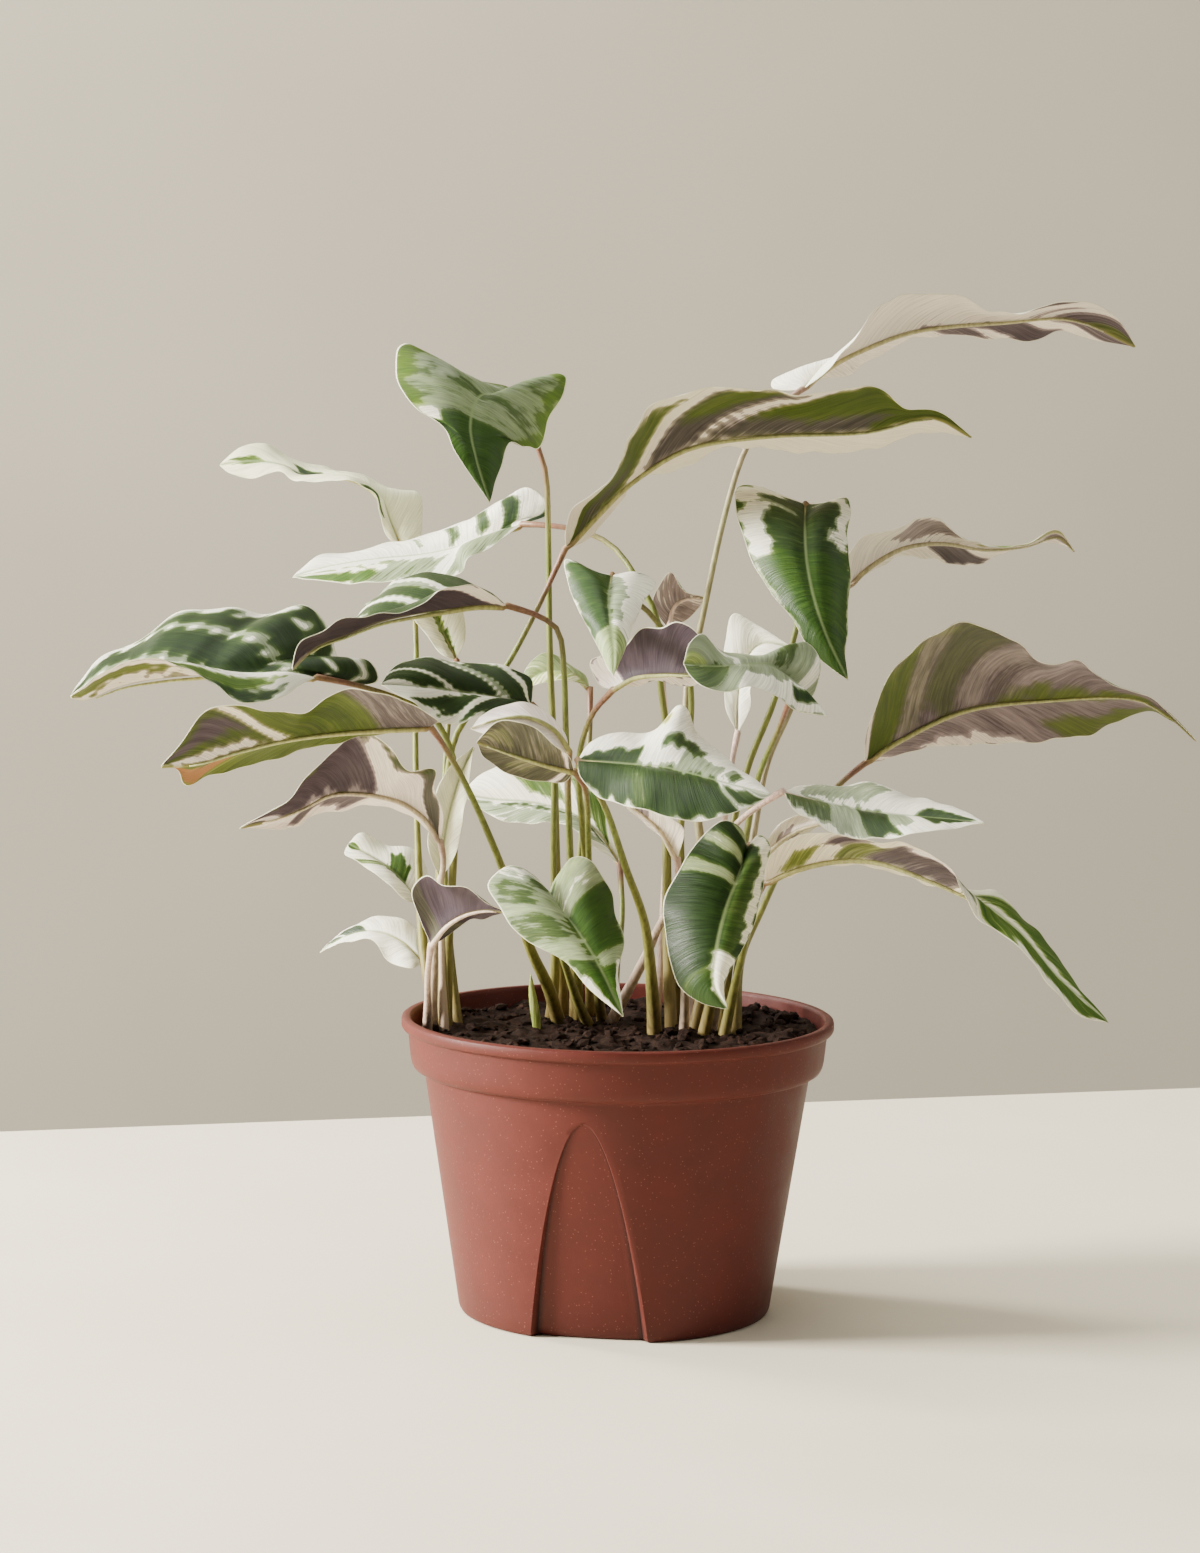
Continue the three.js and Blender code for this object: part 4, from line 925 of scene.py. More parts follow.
plan("top_centre", foot=(-60, 8), push=0, stout=1.9, green=0.06, yellow=0.3, sweep=0.3,
     stalk=[(-62, 8, 130), (-62, 9, 160), (-60, 9, 184), (-57, 8, 200), (-49, 7, 212), (-40, 5, 224),
            (-30, 2, 243)],
     rib=[(-20, 0, 265), (-10, -2, 276), (2, -5, 288), (22, -9, 300), (50, -12, 304.5), (82, -8, 306),
          (104, -2, 311), (119, 2, 304.5)],
     left=[(-14, 4, 267), (-6, 8, 275), (5, 12, 289), (18, 14, 292), (34, 14, 300), (50, 14, 299.5),
           (68, 14, 298.5), (86, 12, 300.5), (102, 6, 306)],
     right=[(-20, -8, 271), (-18, -12, 279), (-10, -16, 284), (-3, -20, 292), (2, -26, 305),
            (12, -30, 316), (28, -32, 320), (45, -30, 320.5), (60, -26, 318.5), (76, -22, 321),
            (87, -16, 321), (96, -8, 314), (107, -3, 313.5)],
     paint=[(-0.06, 0.16, 0, 0.88, 0.74, 1), (0, 0.13, 0.1, 0.4, 0.68, 0.3),
            (0.21, 0.36, 0, 0.92, 0.7, 0.15), (0.22, 0.32, 0.45, 0.95, 0.74, 1),
            (0.41, 1, 0, 1, 0.76, 1.1), (0.38, 0.72, 0, 0.3, 0.7, 0.2), (0.385, 0.41, 0.2, 1, 0.25),
            (0.9, 1, -1, 0, 0.7, 1)])
plan("top_left", foot=(-19, 36), push=-6, stout=1.9, fray=0.3, green=0.49, yellow=0.12, sweep=0.12,
     stalk=[(-20, 30, 120), (-22, 24, 155), (-23, 20, 190), (-25, 16, 230), (-26, 14, 270),
            (-27, 13, 290), (-31, 13, 302)],
     rib=[(-34, 12, 310), (-42, 2, 316), (-50, -10, 316), (-53, -20, 307), (-51, -26, 295),
          (-46, -30, 280)],
     left=[(-30, 16, 317), (-25, 14, 324), (-20, 10, 323), (-24, 8, 312), (-29, 4, 300),
           (-34, -4, 299), (-39, -12, 301), (-43, -22, 291)],
     right=[(-40, 12, 320), (-55, 4, 322), (-66, 0, 328), (-74, -2, 334), (-79, -6, 331),
            (-77, -14, 320), (-72, -20, 312), (-62, -24, 306), (-58, -27, 297)],
     paint=[(-0.2, 0.6, -1, -0.8, 0.6, 1), (-0.2, 0.6, 0.8, 1, 0.6, 1), (0.56, 1, -1, 1, 0.84, 0.5),
            (0.36, 0.42, -0.7, 0.7, 0.54), (0, 0.42, 0.44, 0.54, 0.28), (0.54, 0.6, 0.6, 1, 0.1)])
print("planned:", ", ".join(leaf["name"] for leaf in LEAVES[-3:]))

# %% The pale leaves at the upper left
plan("ribbon_left", foot=(-64, 18), push=28, stout=1.6, green=0.03, yellow=0.7,
     stalk=[(-68, 26, 130), (-70, 32, 165), (-71, 38, 200), (-71, 44, 232), (-73, 48, 254)],
     rib=[(-76, 50, 264), (-80, 51, 273), (-84, 53, 282), (-92, 55, 287.5), (-101, 58, 289),
          (-110, 60, 289), (-118, 62, 292.5), (-128, 64, 293.5), (-139, 66, 292)],
     left=[(-81, 49, 268), (-84, 48, 276), (-86, 48, 283.5), (-95, 48, 287), (-104, 50, 287),
           (-112, 54, 286.5), (-118, 58, 290), (-127, 61, 287.5), (-135, 64, 289)],
     right=[(-70, 51, 268), (-69, 54, 275), (-70, 57, 283), (-78, 62, 283.5), (-88, 66, 288.5),
            (-100, 69, 291), (-112, 70, 294), (-122, 70, 299), (-131, 68, 298.5)],
     paint=[(0, 0.15, -1, -0.8, 0.7), (0.5, 0.62, -0.3, 0.3, 0.88), (0.8, 0.9, -0.2, 0.3, 0.6, 0.6)])
plan("white_left", foot=(19, 14), push=20, stout=1.9, green=0.04,
     stalk=[(17, 16, 130), (16, 18, 170), (16, 18, 198), (13, 14, 220), (12, 9, 240), (5, 11, 254),
            (-3, 16, 265), (-13, 19, 270.5), (-24, 19, 272.5)],
     rib=[(-35, 22, 273), (-45, 24, 269.5), (-58, 26, 264.5), (-70, 27, 262), (-85, 28, 260.5),
          (-100, 29, 258), (-114, 30, 254)],
     left=[(-44, 16, 266), (-53, 12, 261), (-56, 10, 255.5), (-68, 11, 253.5), (-82, 14, 252.5),
           (-96, 18, 252), (-107, 24, 253)],
     right=[(-25, 28, 277), (-28, 30, 282), (-34, 33, 286), (-42, 37, 281), (-52, 40, 275),
            (-66, 42, 269.5), (-80, 42, 266), (-92, 40, 263), (-104, 36, 261.5)],
     paint=[(-0.1, 0.55, -1, -0.3, 0.48, 0.1), (0.5, 1, -1, -0.4, 0.72, 0.9),
            (0.48, 0.92, -0.64, -0.46, 0.1), (0.2, 0.26, -1, -0.3, 0.1), (-0.2, -0.06, 0.2, 1, 0.92),
            (0.04, 0.1, -0.1, 0.8, 0.86), (0.16, 0.21, 0.1, 0.8, 0.66), (0.28, 0.33, 0.1, 0.7, 0.55),
            (0.42, 0.46, 0.1, 0.6, 0.42)])
print("planned:", ", ".join(leaf["name"] for leaf in LEAVES[-2:]))

# %% The long banded leaves at the left
plan("arch_left", foot=(-15, 30), push=-6, stout=1.8, fray=0.6, green=0.8, sweep=0.35,
     stalk=[(-15, 22, 115), (-17, 12, 155), (-19, 2, 198), (-20, -6, 222), (-22, -9, 236),
            (-29, -12, 241.5)],
     rib=[(-40, -15, 245), (-50, -19, 245), (-62, -22, 243), (-73, -26, 241), (-84, -30, 238.5),
          (-95, -34, 234), (-105, -37, 230), (-114, -40, 222)],
     left=[(-44, -26, 248), (-52, -31, 252), (-60, -34, 251), (-68, -35, 246), (-76, -36, 242.5),
           (-86, -39, 241), (-97, -42, 240), (-103, -42, 235), (-111, -42, 232)],
     right=[(-46, -5, 250), (-56, 0, 254), (-68, 3, 256.5), (-78, 2, 253), (-86, -4, 247),
            (-92, -14, 240), (-100, -24, 235), (-108, -32, 230)],
     paint=[(0.1, 0.15, 0.1, 1, 0.1), (0.15, 0.2, 0.3, 0.9, 0.42), (0.3, 0.36, 0.1, 1, 0.15),
            (0.46, 0.52, 0.3, 1, 0.3), (-0.3, 0.05, -1, -0.15, 0.1), (0.86, 1, -1, 1, 0.42),
            (0.1, 0.8, 0.92, 1, 0.1)])
plan("far_left", foot=(-60, 14), push=-10, stout=1.8, fray=0.6, green=0.08, sweep=0.8,
     stalk=[(-59, 15, 130), (-57, 8, 165), (-57, 1, 188), (-64, -6, 205), (-76, -12, 212),
            (-90, -16, 216.5)],
     rib=[(-105, -20, 219.5), (-125, -24, 220.5), (-142, -28, 219.5), (-158, -32, 218),
          (-172, -36, 215.5), (-184, -40, 211), (-190, -42, 212)],
     left=[(-112, -30, 216), (-120, -38, 211), (-130, -42, 210.5), (-139, -42, 215), (-147, -42, 221),
           (-157, -45, 224), (-167, -48, 225.5), (-177, -50, 221), (-185, -49, 216)],
     right=[(-94, -12, 217), (-84, -6, 218.5), (-87, -2, 226), (-97, 2, 226), (-101, 6, 237),
            (-110, 8, 244), (-122, 8, 241.5), (-136, 4, 243.5), (-152, 0, 241), (-166, -8, 232),
            (-178, -18, 226.5), (-186, -30, 218)],
     paint=[(-0.8, -0.55, 0, 0.97, 0.85), (-0.46, -0.27, 0, 0.95, 0.86), (-0.22, 0.02, 0, 0.92, 0.88),
            (0.02, 0.09, 0, 0.94, 0.42), (0.11, 0.4, 0, 0.87, 0.86), (0.4, 0.47, 0, 0.9, 0.42),
            (0.5, 0.62, 0, 0.7, 0.6, 0.4), (-0.5, -0.2, -1, -0.8, 0.85),
            (-0.28, -0.05, -1, -0.45, 0.6, 0.8), (-0.05, 0.25, -1, -0.3, 0.15),
            (0.05, 0.12, -0.8, -0.4, 0.45, 0.2), (0.3, 1, -1, -0.2, 0.6, 0.9)])
plan("banded_left", foot=(-24, 32), push=0, stout=1.7, fray=0.6, green=0.06, sweep=0.4,
     stalk=[(-22, 24, 120), (-23, 14, 160), (-23, 4, 190), (-25, -1, 204)],
     rib=[(-31, -5, 211), (-42, -10, 213), (-55, -15, 215), (-68, -19, 216.5), (-83, -23, 217.5)],
     left=[(-36, -16, 209), (-48, -24, 207.5), (-56, -28, 203.5), (-64, -30, 205), (-72, -28, 211),
           (-79, -26, 215)],
     right=[(-31, 0, 220), (-38, 1, 223.5), (-47, 1, 225), (-60, 0, 226), (-70, -3, 227),
            (-79, -12, 223)],
     paint=[(-0.4, -0.13, 0.1, 1, 0.85), (-0.06, 0.13, 0, 1, 0.86), (0.13, 0.2, 0, 1, 0.4),
            (0.22, 0.5, 0, 0.97, 0.86), (0.55, 0.75, 0, 0.9, 0.8), (-0.2, 0.15, -0.95, -0.1, 0.86),
            (0.25, 0.5, -0.8, -0.2, 0.8)])
print("planned:", ", ".join(leaf["name"] for leaf in LEAVES[-3:]))

# %% The leaves that show their lower sides at the left
plan("olive_left", foot=(-20, 26), push=-26, stout=2.3, fray=0.6, green=0.5, yellow=0.6, sweep=0.22,
     stalk=[(-24, 16, 112), (-31, 4, 127), (-41, -14, 155), (-52, -32, 180), (-61, -46, 196)],
     rib=[(-66, -52, 203), (-82, -56, 202), (-98, -60, 200.5), (-115, -64, 198), (-132, -67, 193.5),
          (-146, -69, 189), (-159, -70, 188)],
     left=[(-63, -58, 205), (-69, -64, 209), (-78, -70, 213), (-90, -72, 215.5), (-101, -71, 213.5),
           (-110, -70, 207), (-122, -72, 208), (-134, -74, 210), (-145, -74, 206), (-152, -72, 196)],
     right=[(-78, -50, 201), (-96, -52, 197.5), (-112, -54, 193.5), (-128, -56, 188.5),
            (-140, -60, 185.5), (-150, -64, 181.5), (-153, -68, 187)],
     paint=[(-0.2, 0.22, -1, 0, 0.58, 0.1), (0.18, 0.5, -1, 0, 0.74, 1),
            (0.26, 0.34, -0.7, -0.3, 0.85, 1), (0.5, 0.56, -1, 0, 0.12, 0.3),
            (0.56, 1, -1, -0.15, 0.76, 0.9), (0.58, 0.86, -0.85, -0.45, 0.7, 0),
            (0.62, 0.95, -0.2, 0, 0.05), (0, 0.6, 0, 1, 0.74, 1), (0.55, 0.68, 0, 1, 0.6, 1),
            (0.68, 1, 0, 1, 0.7, 1), (0.62, 0.86, 0.3, 1, 0.5, 2.3)])
plan("pink_left", foot=(-65, 4), push=-20, stout=1.7, fray=0.5, green=0.1, blush=0.5,
     stalk=[(-64, 0, 115), (-63, -10, 140), (-61, -17, 155)],
     rib=[(-62, -20, 163), (-67, -22, 171), (-76, -25, 177), (-88, -28, 179.5), (-100, -31, 179),
          (-110, -34, 174), (-120, -36, 170), (-132, -38, 167)],
     left=[(-61, -26, 172), (-64, -30, 181), (-64, -32, 188), (-73, -36, 188), (-80, -38, 196),
           (-90, -40, 201), (-99, -41, 195), (-108, -41, 185), (-115, -40, 177), (-121, -38, 173)],
     right=[(-70, -16, 170), (-80, -12, 175), (-92, -12, 174.5), (-104, -16, 172), (-112, -24, 168),
            (-117, -32, 166.5), (-126, -36, 167)],
     paint=[(-0.05, 0.12, -0.9, -0.15, 0.72, 0.3), (0.05, 0.35, -1, -0.84, 0.85, 0.7),
            (0.36, 0.8, -1, 0, 0.74), (0.5, 0.72, -1, -0.88, 0.7, 0.9), (0.25, 0.6, 0.1, 0.8, 0.62),
            (0.86, 0.97, -0.6, 0.4, 0.7)])
print("planned:", ", ".join(leaf["name"] for leaf in LEAVES[-2:]))

# %% The small leaves low at the left
plan("pale_left_back", foot=(-54, 30), push=6, stout=1.5, joined=True, green=0.05,
     stalk=[(-62, 34, 112), (-68, 38, 130)],
     rib=[(-69, 40, 141), (-75, 42, 149), (-83, 45, 156), (-94, 48, 162)],
     left=[(-74, 36, 143), (-81, 37, 148.5), (-89, 42, 155), (-95, 46, 158)],
     right=[(-66, 46, 150), (-70, 50, 160), (-80, 50, 161.5), (-89, 49, 166)],
     paint=[(0.25, 0.5, -0.2, 0.5, 0.7, 0.4), (0.85, 1, -1, 1, 0.7, 0.8), (0.5, 0.6, -1, 0, 0.5, 0.4)])
plan("pale_left_low", foot=(-58, 24), push=0, stout=1.5, joined=True, green=0.03,
     stalk=[(-63, 28, 107)],
     rib=[(-68, 36, 121), (-75, 40, 128), (-84, 44, 131.5), (-94, 48, 130), (-104, 52, 124)],
     left=[(-72, 32, 118.5), (-80, 36, 121.5), (-86, 40, 128.5), (-95, 45, 127.5)],
     right=[(-68, 44, 129), (-74, 50, 136), (-84, 52, 136.5), (-94, 52, 132.5)],
     paint=[(0.55, 0.72, -0.2, 0.7, 0.9), (0.75, 0.85, 0, 0.8, 0.7)])
plan("plum_small", foot=(-66, -2), push=-16, stout=1.5, joined=True, fray=0.5, green=0.84, blush=0.75,
     stalk=[(-66, -12, 105), (-66, -26, 117)],
     rib=[(-65, -36, 127), (-60, -40, 133.5), (-53, -44, 138), (-46, -47, 139.5), (-39, -50, 139)],
     left=[(-58, -32, 131), (-51, -34, 136), (-44, -42, 137)],
     right=[(-69, -38, 136), (-72, -40, 146), (-68, -44, 151), (-61, -50, 148), (-53, -54, 147.5),
            (-46, -53, 142)],
     paint=[(0, 0.2, -1, 1, 0.72, 0.3)])
print("planned:", ", ".join(leaf["name"] for leaf in LEAVES[-3:]))

# %% The leaves that hang in front
plan("front_centre", foot=(-9, 22), push=-22, stout=1.8, fray=0.55, green=0.41, yellow=0.2, sweep=0.14,
     stalk=[(-14, 8, 108), (-20, -14, 125), (-24, -34, 137)],
     rib=[(-25, -48, 144), (-18, -56, 137), (-12, -62, 129), (-6, -66, 119), (2, -70, 102.5)],
     left=[(-22, -40, 151), (-17, -36, 158), (-9, -38, 156.5), (-3, -44, 147), (-1, -50, 138),
           (2, -58, 129), (0, -64, 119), (1, -68, 110)],
     right=[(-29, -46, 151), (-38, -46, 155), (-46, -48, 149), (-42, -52, 141), (-37, -55, 133),
            (-28, -60, 127), (-18, -64, 121), (-10, -68, 112)],
     paint=[(-0.2, 0.14, 0.05, 1, 0.27), (-0.2, 0.14, -1, -0.05, 0.38, 0.4),
            (-0.04, 0.01, -0.8, -0.3, 0.7, 0.5), (0.12, 0.24, 0.45, 0.95, 0.56),
            (0.07, 0.13, 0.2, 0.6, 0.56), (0.3, 0.44, 0.15, 1, 0.57),
            (0.26, 0.56, -0.97, 0, 0.84, 0.8), (0.17, 0.22, -0.9, 0, 0.32, 0.3),
            (0.58, 0.67, 0, 0.85, 0.72, 0.3), (0.66, 1, 0.6, 1, 0.1), (0.64, 1, -1, -0.5, 0.1),
            (0.66, 0.97, -0.45, 0.45, 0.8, 0.8)])
plan("front_right", foot=(29, -4), push=-20, stout=1.9, fray=0.5, green=0.98, yellow=0.1, sweep=0.1,
     stalk=[(33, -8, 112), (38, -18, 135), (43, -30, 156), (45, -38, 163)],
     rib=[(44, -46, 162), (41, -56, 152), (37, -62, 141), (34, -66, 128), (33, -68, 115),
          (38, -69, 105.5)],
     left=[(48, -46, 167), (52, -49, 163), (50, -52, 152), (48, -58, 139), (43, -64, 127),
           (37, -68, 115)],
     right=[(42, -48, 169), (35, -47, 172), (28, -46, 165), (21, -50, 156), (15, -54, 142),
            (17, -58, 128), (20, -62, 115), (28, -66, 108)],
     paint=[(-0.2, 0.03, 0, 1, 0.38, 0.2), (0.03, 0.1, 0, 0.75, 0.9, 0.1),
            (0.1, 0.16, 0, 1, 0.36, 0.3), (0.16, 0.23, 0.1, 0.85, 0.9, 0.1),
            (0.23, 0.3, 0, 1, 0.36, 0.3), (0.3, 0.72, 0, 1, 1, 0.1), (0.72, 0.82, 0, 0.95, 0.6, 0.3),
            (-0.2, 0.58, -1, -0.6, 0.15, 0.2), (0.12, 0.66, -0.65, 0, 0.66, 0.3),
            (0.66, 1, -1, 0.1, 0.15), (0.76, 0.94, 0.1, 0.9, 0.86, 0.4)])
print("planned:", ", ".join(leaf["name"] for leaf in LEAVES[-2:]))

# %% The leaves in the middle
plan("centre", foot=(13, 3), push=-16, stout=2.4, fray=0.6, green=0.06, sweep=0.12,
     stalk=[(12, -4, 110), (9, -16, 135), (2, -32, 155), (-5, -46, 175), (-12, -55, 187)],
     rib=[(-15, -58, 192), (0, -62, 191), (12, -66, 190), (25, -70, 187.5), (39, -74, 184),
          (52, -76, 181)],
     left=[(-10, -50, 199), (0, -44, 202), (10, -40, 202), (20, -36, 211), (27, -40, 202),
           (37, -54, 192.5), (46, -66, 186.5)],
     right=[(-14, -66, 186), (-6, -74, 178), (4, -82, 176.5), (16, -86, 172), (27, -87, 171.5),
            (37, -85, 173.5), (46, -81, 177)],
     paint=[(-0.1, 0.72, 0, 1, 0.82, 0.1), (0.3, 0.36, 0.3, 0.9, 0.6, 0.1), (0.72, 1, 0, 1, 0.27),
            (0.74, 0.84, 0.2, 0.85, 0.7), (-0.1, 0.3, -0.35, 0, 0.82), (0.4, 0.58, -0.5, -0.28, 0.8),
            (0.5, 0.7, -0.3, 0, 0.42), (0.3, 0.35, -0.85, -0.7, 0.5, 2.2),
            (0.72, 0.8, -0.5, -0.1, 0.6)])
plan("cream_centre", foot=(23, 1), push=-4, stout=1.5, joined=True, green=0.06, yellow=0.2, blush=0.5,
     stalk=[(23, -8, 115), (21, -20, 138)],
     rib=[(20, -30, 158), (14, -30, 168), (6, -30, 175), (-4, -30, 181)],
     left=[(22, -34, 168), (16, -36, 174), (6, -36, 180)],
     right=[(15, -26, 164), (8, -26, 171), (0, -28, 177)],
     paint=[(0.5, 0.7, -0.5, 0.2, 0.45)])
print("planned:", ", ".join(leaf["name"] for leaf in LEAVES[-2:]))

# %% The leaves that reach to the right
plan("right_flat", foot=(-4, 23), push=-22, stout=1.8, fray=0.7, green=0.06, blush=0.6, sweep=0.15,
     stalk=[(9, 10, 123), (14, 4, 134.5), (24, -12, 152), (33, -24, 163), (44, -36, 174)],
     rib=[(56, -46, 182), (70, -50, 178.5), (85, -54, 175.5), (100, -58, 174), (113, -62, 173),
          (126, -66, 172)],
     left=[(62, -34, 184), (75, -28, 184.5), (90, -28, 185), (101, -36, 180.5), (114, -50, 178)],
     right=[(60, -56, 175.5), (70, -64, 170), (82, -70, 165.5), (96, -74, 167), (110, -73, 169)],
     paint=[(0.05, 0.4, -0.9, -0.1, 0.4), (-0.1, 0.22, 0, 0.9, 0.58), (0.22, 0.36, 0, 1, 0.42),
            (0.36, 0.5, 0, 0.95, 0.84), (0.5, 0.6, 0, 0.6, 0.42), (0.66, 0.92, -0.3, 0.55, 0.84)])
plan("right_long", foot=(36, -5), push=-16, stout=1.9, green=0.08, yellow=0.4, sweep=0.15,
     stalk=[(40, -10, 112), (44, -18, 130), (47, -24, 143)],
     rib=[(50, -28, 150), (60, -32, 155), (75, -38, 158.5), (90, -44, 158), (106, -50, 152.5),
          (119, -54, 147), (129, -57, 142), (140, -60, 133), (152, -63, 119), (171, -66, 102.5)],
     left=[(56, -22, 151.5), (72, -26, 156.5), (90, -32, 155.5), (106, -38, 150.5), (119, -46, 148.5),
           (130, -48, 148.5), (140, -50, 139), (150, -54, 129), (158, -58, 117), (165, -62, 109)],
     right=[(51, -36, 158), (58, -42, 165), (70, -46, 168), (85, -50, 165.5), (100, -58, 164),
            (111, -62, 159), (119, -62, 148), (124, -62, 138), (133, -64, 133.5), (142, -68, 125),
            (152, -70, 113), (160, -69, 105)],
     paint=[(0.03, 0.12, 0.1, 0.6, 0.5, 1), (0.12, 0.18, 0.5, 1, 0.6), (0.18, 0.44, 0, 0.7, 0.52, 0.8),
            (0.26, 0.5, 0, 0.85, 0.66, 0.1), (0.3, 0.5, 0.7, 1, 0.15), (0.52, 1, -1, 1, 0.66, 0.8),
            (0.52, 1, -0.2, 0.14, 0.15, 0.5), (0.6, 1, 0.85, 1, 0.1)])
plan("beige_right", foot=(32, 2), push=-8, stout=1.4, joined=True, green=0.18, blush=0.4,
     stalk=[(36, -6, 115), (42, -18, 138), (46, -26, 151)],
     rib=[(48, -30, 157), (53, -34, 163), (62, -38, 169), (74, -42, 172)],
     left=[(54, -30, 160), (62, -33, 166), (70, -38, 170.5)],
     right=[(50, -35, 164), (57, -39, 172), (66, -41, 175)],
     paint=[(0.3, 0.5, -0.5, 0.5, 0.4)])
print("planned:", ", ".join(leaf["name"] for leaf in LEAVES[-3:]))

# %% The high leaves at the right
plan("right_big", foot=(41, 3), push=22, stout=1.9, fray=0.45, green=0.54, yellow=0, sweep=0.22,
     stalk=[(42, 4, 122), (49, 4, 140), (56, 4, 156), (63, 4, 170), (71, 4, 180), (78, 5, 187)],
     rib=[(84, 5, 192), (94, 8, 199.5), (118, 14, 211), (147, 22, 215), (175, 28, 216), (188, 31, 210),
          (199, 33, 201)],
     left=[(93, 16, 194), (104, 22, 197.5), (122, 30, 199), (140, 36, 200), (161, 40, 203),
           (179, 38, 211), (190, 36, 208)],
     right=[(84, 0, 202), (87, -6, 211), (92, -12, 223), (99, -16, 231), (110, -18, 239),
            (123, -16, 240.5), (134, -12, 235.5), (144, -4, 228), (157, 2, 228), (169, 14, 220),
            (182, 24, 216)],
     paint=[(-0.25, -0.09, -1, 1, 0.15), (-0.09, 0.09, 0, 1, 0.72, 1), (0.1, 0.16, 0.1, 1, 0.52, 0.3),
            (0.17, 0.28, 0.05, 1, 0.7, 0.5), (0.29, 0.35, 0, 1, 0.5, 0.1),
            (0.36, 0.41, 0, 1, 0.62, 0.1), (0.42, 0.47, 0, 1, 0.5), (0.54, 0.88, 0, 1, 0.57),
            (0.4, 0.9, -0.1, 0.16, 0.66, 0.9), (-0.1, 0.2, 0.93, 1, 0.5, 0.9),
            (0.3, 0.5, 0.97, 1, 0.2), (0, 0.28, -1, -0.8, 0.1), (0.4, 0.85, -1, -0.6, 0.66, 0.9),
            (0.9, 1, -1, 1, 0.6, 0.8)])
plan("right_hanging", foot=(26, 9), push=-6, stout=1.8, green=0.84, yellow=0.6, sweep=0.16,
     stalk=[(33, 9, 130), (38, 15, 165), (44, 20, 191), (52, 24, 212), (60, 24, 240), (64, 20, 268),
            (63, 13, 280)],
     rib=[(62, 8, 281), (62, -4, 272), (63, -12, 260), (66, -18, 247), (71, -22, 234),
          (78, -24, 220.5)],
     left=[(70, 12, 282), (77, 10, 283), (77, 0, 268), (78, -8, 252), (77, -14, 237), (77, -20, 227)],
     right=[(52, 12, 285), (39, 14, 287), (38, 4, 278), (43, -4, 264), (50, -10, 251), (57, -16, 243),
            (65, -20, 230.5), (72, -23, 224.5)],
     paint=[(-0.2, 0.34, -0.75, 0.7, 0.74, 0), (-0.2, 0.3, -1, -0.7, 0.05),
            (0.22, 0.28, -1, -0.45, 0.2), (-0.2, 0.36, 0.62, 1, 0.05), (0.02, 0.05, -1, -0.3, 0.3),
            (0.12, 0.15, 0.2, 1, 0.3), (0.36, 1, -1, -0.9, 0.2), (0.36, 1, 0.9, 1, 0.2)])
plan("ribbon_right", foot=(35, 17), push=26, stout=1.6, green=0.12, blush=0.3,
     stalk=[(38, 18, 130), (45, 22, 160), (50, 24, 190), (58, 26, 210), (66, 22, 232), (73, 14, 247)],
     rib=[(77, 10, 253), (84, 14, 260), (96, 22, 267), (110, 32, 268.5), (124, 44, 266.5),
          (138, 56, 268), (148, 64, 271), (155, 70, 266)],
     left=[(84, 20, 257.5), (95, 30, 263.5), (106, 40, 262.5), (118, 50, 260.5), (129, 56, 264.5),
           (140, 62, 268.5), (150, 70, 268.5)],
     right=[(76, 6, 262), (82, 4, 270), (93, 10, 273), (105, 18, 277.5), (115, 30, 271),
            (125, 42, 267.5), (137, 52, 268), (148, 60, 273.5)],
     paint=[(0.28, 0.48, -0.9, -0.1, 0.68), (0.14, 0.4, 0.25, 0.9, 0.42),
            (0.5, 0.8, 0.2, 1, 0.36, 0.7), (0.82, 1, -1, 1, 0.5)])
print("planned:", ", ".join(leaf["name"] for leaf in LEAVES[-3:]))

# %% The folded leaves under them
plan("folded_centre", foot=(20, 21), push=-14, stout=1.6, green=0.3,
     stalk=[(22, 18, 130), (21, 20, 170), (24, 22, 212), (20, 16, 228), (9, 4, 243), (0, -5, 250)],
     rib=[(-4, -12, 256), (-5, -24, 248), (-4, -34, 238), (-3, -40, 229), (-3, -44, 221)],
     left=[(4, -12, 257), (11, -12, 254), (7, -22, 246), (3, -31, 237), (0, -39, 228)],
     right=[(-12, -13, 258), (-20, -12, 261), (-19, -18, 252), (-15, -25, 243), (-9, -34, 232),
            (-5, -41, 224)],
     paint=[(-0.2, 0.58, 0, 0.93, 0.84, 0.4), (-0.2, -0.05, 0, 1, 0.08), (-0.2, 0.5, -1, -0.4, 0.08),
            (-0.2, 0.5, -0.4, 0, 0.42), (0.58, 1, -1, 1, 0.42, 0.5)])
plan("pink_back", foot=(13, 20), push=26, stout=1.5, joined=True, green=0.36, blush=0.9,
     stalk=[(15, 22, 130), (16, 25, 170), (15.5, 27, 200), (14, 25, 222)],
     rib=[(15, 23, 238), (17, 23, 245), (21, 22, 248), (28, 24, 249)],
     left=[(17, 26, 238.5), (22, 28, 240.5), (26, 26, 245)],
     right=[(10, 18, 246), (12, 17, 253), (16, 17, 257.5), (20, 19, 251)],
     paint=[(0.2, 0.6, -0.6, 0.4, 0.42)])
